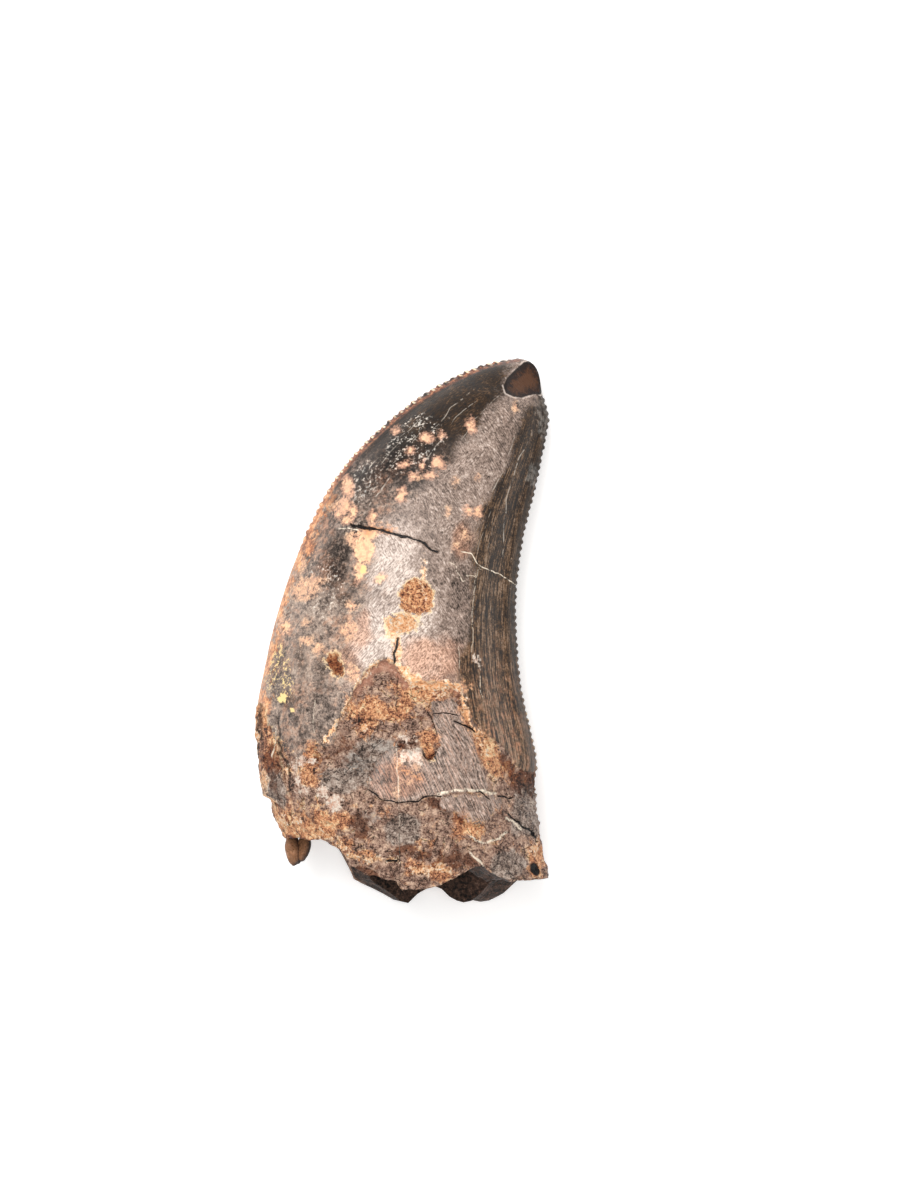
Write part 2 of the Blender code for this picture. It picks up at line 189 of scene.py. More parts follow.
# Marks on the upper face, by the stain that they show. Each is (x, y, half-length in x,
# half-length in y) and, where it is turned, how many degrees.
MARKS = {
    "cream": [
        (-4.6, 12, 0.42, 0.8, 8), (-2.9, 8, 0.67, 0.42), (-3.2, 6.7, 0.8, 1.1),
        (-3.5, 4.9, 0.42, 0.67), (0, 11.3, 0.34, 0.5), (3, 14, 0.46, 0.46), (2, 16, 0.42, 0.34),
        (0.2, 13.8, 0.34, 0.25, 30), (2.3, 12.9, 0.38, 0.29), (5.8, 17.1, 0.25, 0.42, 10),
        (-2.5, 9.3, 0.25, 0.42), (-4.7, 10.4, 0.34, 0.5), (-4.1, 9.8, 0.29, 0.34),
        (-5.3, 9.8, 0.29, 0.34), (-4.6, 9.2, 0.42, 0.29), (-1.8, 4.3, 0.38, 0.29, 30),
        (-9.7, 0.3, 0.42, 0.34, 40), (-0.6, 16.7, 0.25, 0.21), (0.7, 15, 0.25, 0.21),
        (3.3, 16.3, 0.25, 0.25), (0.9, 12.8, 0.25, 0.25), (1.7, 13.6, 0.25, 0.17, 60),
        (5.5, 10, 0.21, 0.34), (6.3, 9.8, 0.29, 0.38, -20),
    ],
    "salmon": [
        (4.4, 12.4, 0.34, 0.42), (9.5, 18.6, 0.3, 0.5), (-8.1, 3.4, 1.3, 1.0, 30),
        (-7, 4, 0.67, 0.5), (-4.2, 2, 0.59, 0.5), (-4.4, 0, 0.75, 0.84), (-8, -0.9, 0.67, 0.42),
        (-8, 0.5, 0.29, 0.42), (-7.0, -1.6, 0.5, 0.6), (-3.9, -3.8, 0.5, 1.2, 30),
        (2.9, 14.1, 0.34, 0.34), (-8.8, 6.1, 0.6, 1.3, 25), (3.2, -4.8, 2.2, 0.5),
        (4.5, 6.9, 0.34, 0.42), (-0.2, -10.8, 0.5, 0.3), (-0.4, -13.2, 0.3, 0.6),
        (0.6, -12.6, 0.4, 0.2), (1.2, -11.4, 0.3, 0.4), (5.3, 8, 0.25, 0.42),
        (6.2, 12.8, 0.25, 0.34), (-5.0, 10.3, 1.0, 0.8), (1.3, 12.6, 0.3, 0.3),
        (3.9, 9.9, 0.2, 0.4), (-4.0, 7.6, 0.8, 0.7), (-10.3, 1.4, 0.4, 1.2, 15),
        (-9.8, 4.4, 0.35, 1.5, 18),
    ],
    "rust": [
        (-7.6, -9.9, 0.46, 0.54), (-8, -12.1, 0.38, 0.59, 20), (-7.5, -12.6, 0.5, 0.34),
        (-3.2, -8.2, 0.5, 0.54), (-11.2, -6.7, 0.5, 0.84), (-8, 7.3, 0.59, 0.92, 25),
        (-6.5, -16, 0.5, 0.42), (-4.9, -15.8, 0.5, 0.34), (-6.7, -16.8, 0.75, 0.34),
        (3.1, -5.4, 0.5, 0.25), (2.3, -4.8, 2.5, 0.59), (2.3, -9, 0.75, 0.67),
        (4.9, -16.2, 0.6, 0.8), (6.2, -16.6, 0.4, 0.4), (8.2, -11.5, 0.42, 0.5),
        (8.9, -11.7, 0.25, 0.42), (6.5, -9.8, 0.34, 0.75, 25), (5.4, -7.2, 0.34, 1.1, 25),
        (7.3, -9.9, 0.3, 1.2, 20), (-2.6, -6.4, 0.9, 0.7), (-4.8, -18, 0.59, 0.5),
        (3.2, -20.1, 0.84, 0.67), (1.1, -19.7, 0.5, 0.42), (11, -18.8, 0.34, 0.75),
        (-1.3, 8.4, 0.5, 0.21, -10), (-2.9, 8.2, 0.34, 0.25), (-10.2, -15.9, 0.67, 0.67),
        (-8.5, -16.7, 1.2, 0.59), (-3.9, -6.8, 0.42, 1.2, 30), (-0.2, -6.8, 0.84, 0.67),
        (0.3, -11.7, 0.3, 0.25), (1.3, -12.3, 0.25, 0.2), (-0.3, -10.6, 0.15, 0.5),
    ],
    "yellow": [
        (-0.2, 0.5, 1.35, 0.72, -10), (-0.9, -0.2, 0.5, 0.5), (0.4, 0.9, 0.8, 0.4),
        (1, -4.3, 0.59, 0.59), (0.2, -3.7, 0.67, 0.21, -45), (-10.9, -14.2, 0.42, 0.5),
        (-10, -15.9, 0.42, 0.42), (-8.8, -15.9, 0.42, 0.34), (-11, -12.5, 0.25, 0.67),
        (-11.8, -10.2, 0.25, 0.42), (-11.6, -8.9, 0.34, 0.5), (1.8, 4.7, 0.13, 0.67),
        (-3.2, -8.2, 0.29, 0.34), (3.1, -5.4, 0.34, 0.17), (1.4, -20, 0.67, 0.18, -25),
        (-0.8, -19.1, 0.5, 0.17, -10), (-2.3, -19, 0.67, 0.17), (-5, -18.1, 0.34, 0.25),
        (-0.4, -1.6, 0.38, 1.1), (11, -18.4, 0.21, 0.5), (-9.5, -11.7, 0.25, 0.34),
    ],
    "lemon": [(-9.9, -5.7, 0.34, 0.34), (-9.3, -6.7, 0.17, 0.17), (-3.2, 5.1, 0.3, 0.25)],
    "chalk": [
        (-6.6, -13.4, 0.42, 0.34, -30), (-5.7, -14.4, 0.59, 0.63, -30), (-8.1, -13.4, 0.25, 0.25),
        (-8.6, -12.9, 0.21, 0.59), (0.8, -10.5, 1.1, 0.6), (-8.4, -10.9, 0.34, 0.34),
        (-9.1, -11.4, 0.25, 0.25), (0.4, -9.1, 0.46, 0.17, -5), (6.2, -2.5, 0.17, 0.34, 20),
        (3.2, -13.6, 0.17, 0.13), (-7.5, -10.9, 0.25, 0.17),
    ],
    "soot": [
        (-0.6, 14.7, 1.2, 1.7, -35), (-2.1, 16, 0.67, 1.3, -40), (1.9, 13.4, 0.59, 1, -30),
        (-6, 10.8, 0.5, 0.59), (-5, 11.9, 0.34, 0.75, 20), (-5.5, 5.6, 1.1, 2.4),
        (-3.9, 3.8, 0.5, 0.8, -30), (-1.8, 3.7, 0.29, 1, -35), (-4.8, 2.6, 0.75, 0.67),
        (-8.5, -2.5, 0.5, 1.5, 10), (-9.5, -5.8, 0.5, 0.84), (-6.7, -3.5, 0.42, 1.3),
        (-4.8, -10.9, 3, 1.5, 5), (-10.1, -10.7, 0.42, 1.5, -5), (-9.6, -13.5, 0.42, 1.4),
        (-3.5, -11.3, 1.5, 1.2), (-6.6, -9.8, 0.25, 0.21), (4.4, -5.6, 0.34, 0.42),
        (9.6, -12.2, 0.5, 0.25), (9.3, -13.3, 0.34, 0.5), (0.7, -9.6, 0.67, 0.17),
        (1.1, -7.2, 0.67, 0.25), (2.5, -6.8, 0.5, 0.42), (10.5, -12.5, 0.5, 0.25),
    ],
}
HOLES = [(11.05, -20.0, 0.36, 0.58, 25), (-0.95, -19.15, 0.3, 0.1)]
MARK_LIMIT = 0.6  # how deep outside its mark a point can lie

# Soft patches over a wider stretch, which change a stain, paint a sheen or paint shade, and the
# few that don't stray.
PATCHES = {
    # Paler, pinker enamel on the crest, with a painted sheen over it.
    "crest": [
        (-1.0, 4.6, 2.4, 4.2, -12), (-0.2, 0.5, 3.2, 4.2), (1.6, -2.6, 2.6, 2.4),
        (-3.2, -1.4, 1.3, 2.2, 20),
    ],
    "ash": [
        (-2.3, -11.1, 2.4, 2.4), (0, -16.6, 1.7, 1.5), (10.5, -15.2, 1.6, 2.4),
        (9.0, -19.5, 1.6, 1.3), (-10.2, -13.5, 0.8, 1.8), (-8.4, -8.5, 1.6, 2.6),
        (-5.3, -12.6, 1.6, 1.2),
    ],
    "blush": [
        (2.3, -2.6, 3.0, 2.4), (-8.0, 3.2, 2.2, 3.2, 20), (-6.4, -2.6, 3.0, 2.8),
        (-0.5, -12.4, 2.4, 1.8), (5.0, 7.5, 1.2, 1.6), (-3.6, 0.6, 1.2, 2.4),
    ],
    "glow": [
        (-7.3, -16.1, 2.6, 1.9), (-9.6, -9.2, 1.1, 1.8), (-11.1, -7.9, 0.6, 1.7),
        (-7.7, -11.1, 0.9, 1.6), (-2.2, -7.2, 1.0, 1.3), (1.5, -5.8, 1.3, 1.1),
        (7.5, -10.8, 0.7, 1.6), (6.1, -16.1, 1, 1.1), (1.9, -17.6, 1.0, 1.0),
        (-3.2, -19.0, 1.4, 0.7, -15), (11.4, -19.4, 0.7, 1.5),
    ],
    # Painted shade: darker patches of the crown.
    "dusk": [
        (-8.2, -8.0, 2.6, 2.4), (-10.4, -3.6, 1.1, 2.6, 5), (-6.4, -6.2, 1.4, 1.6),
        (5.0, 3.2, 1.0, 2.6), (9.6, 17.0, 1.3, 2.4, -20), (-5.2, 6.0, 1.0, 2.0),
        (-1.6, 2.2, 0.5, 1.2, 30), (5.2, -1.5, 0.8, 2.4),
    ],
    "bloom": [
        (-1.9, -12.0, 0.7, 1.5), (-4.0, -11.0, 1.6, 1.2), (11.7, 17.8, 0.6, 2.0),
        (10.9, 13.0, 0.5, 1.2), (-4.6, 14.6, 0.6, 1.6, -45), (-5.0, 8.8, 1.0, 0.5),
        (-1.2, -9.6, 1.4, 0.8), (-3.0, -15.7, 1.4, 0.9),
    ],
    # Dark ground, and painted shade under the broken rim and in the lower ends of the pits.
    "gloom": [
        (8.8, -11.4, 0.6, 1.3, 15), (2.4, -10.9, 0.65, 0.9), (-5.6, -2.9, 0.8, 1.1),
        (-8.9, -17.3, 1.0, 0.35), (4.9, -19.2, 1.7, 0.7, -10), (10.4, -12.9, 1.5, 1.2),
        (-10.3, -11.5, 0.45, 2.4), (0.4, -9.6, 0.9, 0.25), (-2.6, -20.6, 2.0, 0.5, -20),
        (3.0, -14.6, 1.4, 0.5), (-3.6, -16.2, 0.8, 1.2, 30), (1.0, -18.4, 2.2, 0.6),
    ],
}
STILL_PATCHES = {
    "specks": [(1.1, 15.5, 2.9, 2.1, 45), (-3.4, 12.2, 2.2, 1.2, 50), (-6.5, 3.5, 1.6, 2.4)],
    "flecks": [(-10.4, -3.2, 1.2, 2.1), (-9.6, -5.0, 0.7, 1.0)],
    "lost": [
        (-8.4, -9.6, 3.4, 2.6), (6.5, -15.2, 3.0, 2.0), (-1.4, -9.6, 1.6, 0.9),
        (-2.6, -12.4, 1.0, 2.0), (-0.6, -10.2, 2.6, 0.9),
    ],
}
PATCH_EDGE = (1.35, 0.5)  # a patch begins and is full at these shares of its half-lengths

# Pale crumbs along the broken edge of the enamel: (half-width, points).
FROST = [
    (0.17, [(-6.5, -9.3), (-5.7, -8.2), (-5.2, -7.4), (-4.5, -5.9), (-3.8, -4.6), (-2.6, -3.1)]),
    (0.13, [(-2.6, -3.1), (-1.5, -2.4), (-0.7, -2.6)]),
    (0.34, [(-0.3, -3.0), (0.3, -3.8), (1.0, -4.3), (2.0, -4.7), (3.2, -4.6), (4.4, -4.5)]),
    (0.2, [(4.4, -4.5), (5.0, -5.4), (5.3, -6.7), (5.9, -8.0), (6.5, -9.2), (6.9, -10.2)]),
    (0.16, [(2.2, -20.0), (3.2, -19.7), (4.0, -20.2)]),
    (0.14, [(-7.0, -16.8), (-5.0, -17.6), (-4.2, -18.7), (-2.4, -19.0)]),
]

# Lines on the upper face: (half-width, strength, points), and how far each kind strays.
LINES = {
    "crack": [
        (0.12, 1, [(-4.1, 8.75), (-3.9, 8.7), (-3.2, 8.5), (-2.3, 8.4)]),
        (0.1, 1, [(-2.3, 8.4), (-1.6, 8.3), (-0.9, 8.05), (0.2, 7.8)]),
        (0.08, 1, [(0.2, 7.8), (1.2, 7.5), (2, 7.2), (2.5, 6.7), (2.8, 6.6)]),
        (0.09, 1, [(-0.4, -0.9), (-0.5, -1.5), (-0.6, -2.1), (-0.6, -2.6)]),
        (0.05, 1, [(2.7, -6.9), (3.4, -6.9), (4.4, -7.1)]),
        (0.07, 1, [(4.6, -7.7), (5.2, -7.9), (5.9, -8.4)]),
        (0.06, 0.8, [(2.3, -7), (2.6, -7.6), (2.8, -8.4)]),
        (0.055, 1, [(-2.6, -13.4), (-1.8, -14), (-0.9, -14.3), (0.3, -14.3), (1.3, -14.3),
                    (1.7, -14), (2.2, -13.8), (3.1, -13.8)]),
        (0.06, 1, [(6.6, -13.6), (7, -13.9)]),
        (0.08, 1, [(8.2, -13.9), (8.9, -14)]),
        (0.11, 1, [(8.9, -15.5), (9.9, -16.3), (10.7, -16.8), (11.1, -17.5)]),
        (0.06, 0.8, [(1.8, -10.2), (2, -10.6), (2.3, -10.9), (2.7, -10.3)]),
        (0.08, 1, [(-11.5, -10.1), (-11.55, -11.4), (-11.45, -12.7)]),
        (0.1, 1, [(-1.0, -19.15), (-0.5, -19.2)]),
        (0.06, 0.7, [(-10.1, -7.4), (-10.0, -9.6), (-9.5, -11.2), (-9.2, -13.2)]),
        (0.04, 0.8, [(-0.4, -4.0), (-0.4, -6.6)]),
        (0.035, 0.6, [(-0.2, -17.2), (-0.2, -22.6)]),
    ],
    "seam": [
        (0.05, 1, [(-5, 8.5), (-4.6, 8.5), (-3.9, 8.4)]),
        (0.045, 1, [(5.2, 6.5), (5.7, 6.4), (6.1, 6), (6.4, 5.4), (6.7, 5.2), (7.2, 5.1),
                    (7.7, 4.9), (8, 4.7), (8.5, 4.4), (8.9, 4.1), (9.3, 3.9)]),
        (0.035, 0.5, [(6.4, 5.3), (6.2, 4.4), (6, 3.2), (5.9, 1.9), (5.9, -0.1), (5.8, -1.7)]),
        (0.03, 0.5, [(4.7, -1.6), (4.8, -2.9)]),
        (0.035, 0.9, [(6.5, -4.1), (6.5, -4.7), (6.7, -5.3)]),
        (0.05, 0.5, [(-0.4, -9.8), (-0.4, -10.9), (-0.3, -12.4), (-0.3, -13.8)]),
        (0.03, 0.4, [(-0.3, -13.8), (-0.2, -16.8), (-0.2, -19.1)]),
        (0.13, 1, [(3.2, -13.6), (3.7, -13.5), (4.5, -13.4), (5.4, -13.3), (6.4, -13.4),
                   (7.1, -13.5), (7.6, -13.6)]),
        (0.1, 1, [(8.8, -15.8), (9.3, -16.1), (9.9, -16.6)]),
        (0.1, 1, [(5.9, -17.3), (6.4, -17.6), (7, -17.7), (7.8, -17.5), (8.5, -17)]),
        (0.09, 1, [(5.9, -18.7), (6.6, -19.4)]),
        (0.035, 0.7, [(4.2, 5.5), (4.5, 5.3)]),
        (0.035, 0.7, [(4.5, 5.1), (4.8, 4.4), (5.1, 4.1), (5.4, 4.2)]),
        (0.035, 0.7, [(5.6, 4.5), (6.1, 4.4)]),
        (0.04, 0.5, [(-7.3, -6.1), (-7.4, -8.3)]),
        (0.05, 0.8, [(-10.3, -8.4), (-10.3, -10.4)]),
    ],
    "scratch": [
        (0.04, 0.7, [(6, 20.2), (4.7, 19.1), (4, 18.6), (3.5, 17.7), (2.8, 17)]),
        (0.03, 0.5, [(7.9, 19.5), (7.2, 18.8), (6.5, 18), (6, 17.6), (5.4, 16.5), (5, 16)]),
        (0.035, 0.6, [(6.1, 19.1), (5.1, 18.4), (4.3, 17.6), (3.5, 16.1), (2.9, 15.5), (2.2, 14.5),
                      (1.6, 13.7), (1.1, 13)]),
        (0.035, 0.6, [(1.3, 17.5), (0.6, 16.7), (0, 16.3)]),
        (0.03, 0.6, [(1.5, 16.5), (0.4, 15.2)]),
        (0.035, 0.7, [(-0.3, 14.6), (-0.6, 14.1), (-1.2, 13.6), (-1.4, 13.2)]),
        (0.035, 0.6, [(-1.3, 12.3), (-1.8, 11.5)]),
        (0.03, 0.6, [(-2.1, 14.3), (-2.7, 13.7)]),
        (0.035, 0.6, [(-3.3, 13.3), (-3.7, 12.6)]),
        (0.035, 0.6, [(-0.3, 15.6), (-0.9, 15), (-1.6, 14.1)]),
        (0.04, 1, [(-1.2, 12.5), (-2, 11.4), (-2.5, 10.8), (-3, 10), (-3.5, 9.1), (-3.8, 8.8)]),
        (0.045, 0.7, [(9.4, 16.1), (9.2, 15.4), (8.9, 14.8), (8.5, 13.4), (8, 12.5), (7.6, 11.7),
                      (7.4, 11)]),
        (0.045, 0.8, [(10.9, 16.5), (10.5, 15.6), (9.8, 14.5), (9.5, 13.6), (9.2, 12.5),
                      (8.9, 11.7), (8.7, 10.9), (8.7, 10), (8.5, 8.7), (8.5, 7.3), (8.4, 5.9)]),
        (0.035, 0.5, [(7.3, 9.6), (7, 8.7), (6.5, 7.5), (6.3, 6.6)]),
        (0.03, 0.5, [(7.6, 9), (7.5, 8.2)]),
        (0.03, 0.5, [(7.2, 7), (7, 6.1)]),
        (0.04, 0.7, [(3.6, 10.5), (3, 9.3)]),
    ],
}
LINE_STRAYS = {"crack": 1.0, "seam": 1.0, "scratch": 0.3}
LINE_REACH = (0.2, 0.36)  # a line's own values hold this near to it, and end this far off
LINE_LIMIT = 9.0  # the furthest offset from a line, in its half-widths

# The brown bead at the root's corner: for each lobe its (x, y, z), half-lengths and turn.
BEAD_LOBES = [
    ((-9.15, -18.45, 5.3), (0.68, 1.36, 0.95), 8),
    ((-8.3, -18.3, 5.35), (0.6, 1.2, 0.85), -12),
]
BEAD_LUMPS = ((0.12, 1.7), (0.04, 5.0))  # (height, how many to the lobe's radius)
# The bead is painted lighter on its side that faces this way, and painted shade on its far side.
BEAD_LIT_FROM = (-0.45, 0.0, 0.95)  # the way that the bead's lighter side faces

# The mesh: rows along the tooth, then across the broken edge, then into the cavity.
SKIN_ROWS, RIM_ROWS, CAVITY_ROWS = 390, 12, 28
UPPER_COLUMNS, LOWER_COLUMNS = 170, 26  # the lower columns come twice, on each side of a seam
COLUMN_EVENNESS = 0.15  # 1 spreads the columns evenly, 0 crowds them at the cutting edges
BEAD_STRIP = 0.94  # the tooth's UV map ends here, and the bead's begins
MAP_MARGIN, MAP_START = 0.005, 0.004  # what the maps leave free, and where the tooth's begins


def smooth(low, high, value):
    share = np.clip((value - low) / (high - low), 0, 1)
    return share * share * (3 - 2 * share)


def blend(start, end, share):
    return start + (end - start) * share


def curve_through(points, steps=12):
    """A smooth (Catmull-Rom) line through the points, as many short steps."""
    knots = np.array(points)
    knots = np.vstack([2 * knots[0] - knots[1], knots, 2 * knots[-1] - knots[-2]])
    s = (np.arange(steps) / steps)[:, None]
    line = [
        0.5 * (2 * b + (c - a) * s + (2 * a - 5 * b + 4 * c - d) * s ** 2
               + (3 * b - a - 3 * c + d) * s ** 3)
        for a, b, c, d in zip(knots, knots[1:], knots[2:], knots[3:])
    ]
    return np.vstack([*line, knots[-2]])


def at_share(line, share):
    """The points at these shares of the line's length."""
    lengths = np.hstack([0, np.cumsum(np.linalg.norm(np.diff(line, axis=0), axis=1))])
    where = share * lengths[-1]
    return np.stack([np.interp(where, lengths, line[:, axis]) for axis in (0, 1)], axis=-1)


def along(line, value, given=0, wanted=1):
    """One coordinate of an open line at a value of the other."""
    points = np.array(sorted(line, key=lambda point: point[given]))
    return np.interp(value, points[:, given], points[:, wanted])


def waves(points, wavelength, seed=0.0):
    """Smooth noise, -1 to 1, at each point."""
    shift = Vector((seed, 2.3 * seed, -seed))
    flat = points.reshape(-1, 3) / wavelength
    made = [noise.noise(Vector(point) + shift) for point in flat.tolist()]
    return np.array(made).reshape(points.shape[:-1])


def lumps(points, wavelength, octaves):
    """Smooth noise with smaller noise on it, at each point."""
    flat = points.reshape(-1, 3) / wavelength
    made = [noise.fractal(Vector(point), 0.8, 2.1, octaves) for point in flat.tolist()]
    return np.array(made).reshape(points.shape[:-1])


def ragged(points, sizes, seeds):
    """Noise of several sizes added up: each (reach, wavelength) with its own seed."""
    return sum(reach * waves(points, length, seed) for (reach, length), seed in zip(sizes, seeds))


def segment_offsets(line, x, y, closed=False):
    """For each segment, the distance from (x, y) to it and the signed distance beside it."""
    points = [*line, line[0]] if closed else line
    for (ax, ay), (bx, by) in zip(points, points[1:]):
        dx, dy = bx - ax, by - ay
        length = math.hypot(dx, dy)
        share = np.clip(((x - ax) * dx + (y - ay) * dy) / length ** 2, 0, 1)
        distance = np.hypot(x - ax - share * dx, y - ay - share * dy)
        yield distance, ((x - ax) * dy - (y - ay) * dx) / length


def depth_inside(outline, x, y):
    """How far (x, y) lies inside the closed outline, below zero outside it."""
    nearest = np.full(x.shape, np.inf)
    for distance, _ in segment_offsets(outline, x, y, closed=True):
        nearest = np.minimum(nearest, distance)
    hit = np.zeros(x.shape, bool)
    for (x0, y0), (x1, y1) in zip(outline, outline[1:] + outline[:1]):
        if y0 != y1:
            hit ^= ((y0 > y) != (y1 > y)) & (x < x0 + (y - y0) * (x1 - x0) / (y1 - y0))
    return np.where(hit, nearest, -nearest)


def ovals(marks, x, y):
    """For each oval, how far out (x, y) lies, 1 at its edge, and its shorter half-length."""
    for mark_x, mark_y, half_x, half_y, *turn in marks:
        angle = math.radians(turn[0] if turn else 0)
        c, s = math.cos(angle), math.sin(angle)
        px, py = (x - mark_x) * c + (y - mark_y) * s, (y - mark_y) * c - (x - mark_x) * s
        yield np.hypot(px / half_x, py / half_y), min(half_x, half_y)


def depth_in_marks(marks, x, y):
    """How far (x, y) lies inside the nearest of the oval marks, below zero outside them."""
    best = np.full(x.shape, -MARK_LIMIT)
    for out, shorter in ovals(marks, x, y):
        best = np.maximum(best, (1 - out) * shorter)
    return best


def depth_along(lines, x, y):
    """How far (x, y) lies inside the nearest of the wide lines, below zero outside them."""
    best = np.full(x.shape, -MARK_LIMIT)
    for half_width, points in lines:
        for distance, _ in segment_offsets(points, x, y):
            best = np.maximum(best, half_width - distance)
    return best


def soft_marks(patches, x, y):
    """How strongly soft oval patches cover (x, y), 0 to 1."""
    clear = np.ones(x.shape)
    for out, _ in ovals(patches, x, y):
        clear *= 1 - smooth(*PATCH_EDGE, out)
    return 1 - clear


def line_fields(lines, x, y):
    """The offset from the nearest line in half-widths, and how near that line is, 0 to 1."""
    offset, nearest = np.full(x.shape, LINE_LIMIT), np.full(x.shape, np.inf)
    strength = np.zeros(x.shape)
    for half_width, strong, points in lines:
        for distance, beside in segment_offsets(points, x, y):
            closer = distance < nearest
            offset = np.where(closer, beside / half_width, offset)
            strength = np.where(closer, strong, strength)
            nearest = np.minimum(nearest, distance)
    near = smooth(LINE_REACH[1], LINE_REACH[0], nearest)
    return np.clip(offset, -LINE_LIMIT, LINE_LIMIT), strength * near


def thickness_at(share):
    """The tooth's thickness as a share of its width, at a share of its length."""
    first = blend(TIP_THICKNESS, MIDDLE_THICKNESS, smooth(0, 0.5, share))
    return np.where(share < 0.5, first,
                    blend(MIDDLE_THICKNESS, ROOT_THICKNESS, smooth(0.5, 1, share)))


def underside_at(share):
    """The underside's lowest z: it rests on one worn flat and rises away from it."""
    away = (share - REST_AT) / RISE_OVER
    return UNDERSIDE_RISE * (1 - np.exp(-away * away)) - WORN_FLAT


def dip(u, hollow):
    """The depth at u of a hollow that runs along the tooth."""
    place, width, depth = hollow
    return depth * np.exp(-(((u - place) / width) ** 2))


def section_height(u, share, upper):
    """The section's height, 0 to 1, at u, which runs from -1 at the front edge to 1."""
    power = blend(CROWN_EDGE_POWER, ROOT_EDGE_POWER, smooth(0.6, 0.95, share))
    flatness = np.where(upper, UPPER_FLATNESS, LOWER_FLATNESS)
    height = np.maximum(0, 1 - np.abs(u) ** flatness) ** power
    hollows = (dip(u, BACK_HOLLOW) + dip(u, FRONT_HOLLOW)) * np.where(upper, 1, UNDER_HOLLOW)
    hollows = hollows * (1 - smooth(0.75, 0.95, share)) * np.minimum(1, 3 * height)
    return np.maximum(0, height - hollows)


def facet_height(x, y):
    """The z of the wear facet's dished face under or over (x, y)."""
    dx, dy = x - FACET_AT[0], y - FACET_AT[1]
    nx, ny, nz = FACET_FACES
    plane = FACET_AT[2] - (nx * dx + ny * dy) / nz
    return plane - FACET_DISH * np.maximum(0, 1 - (dx ** 2 + dy ** 2) / 3)


def flake(u, y):
    """How far the flake at the front edge stands proud."""
    near_edge = smooth(-0.8, -0.95, u)
    return (FLAKE_HEIGHT * near_edge * smooth(FLAKE_FROM, FLAKE_FROM - 6, y)
            * smooth(FLAKE_TO, FLAKE_TO + FLAKE_STEP, y))


def bare_depth(x, y):
    """How far inside the bare ground (x, y) lies, below zero on enamel."""
    inside = depth_inside(BARE, x, y)
    for island in ISLANDS:
        inside = np.minimum(inside, -depth_inside(island, x, y))
    return inside


def pit_depth(x, y):
    """How deep the pits are at (x, y), steep at their edges and nearly flat inside."""
    deep = np.zeros(x.shape)
    for px, py, rx, ry, depth in PITS:
        reach = 1 - ((x - px) / rx) ** 2 - ((y - py) / ry) ** 2
        deep += depth * np.maximum(0, reach) ** 0.4
    return deep


def stations():
    """(u, upper) for each column, from the middle of the underside round by the front edge."""
    low = 0.5 * np.linspace(1, 0, LOWER_COLUMNS + 1)[:-1] ** 1.6
    high = np.linspace(0, 1, UPPER_COLUMNS + 1)
    share = np.hstack([low, high, 1 - low[::-1]])
    upper = np.hstack([low < 0, high > -1, low < 0])
    return blend(-np.cos(np.pi * share), 2 * share - 1, COLUMN_EVENNESS), upper


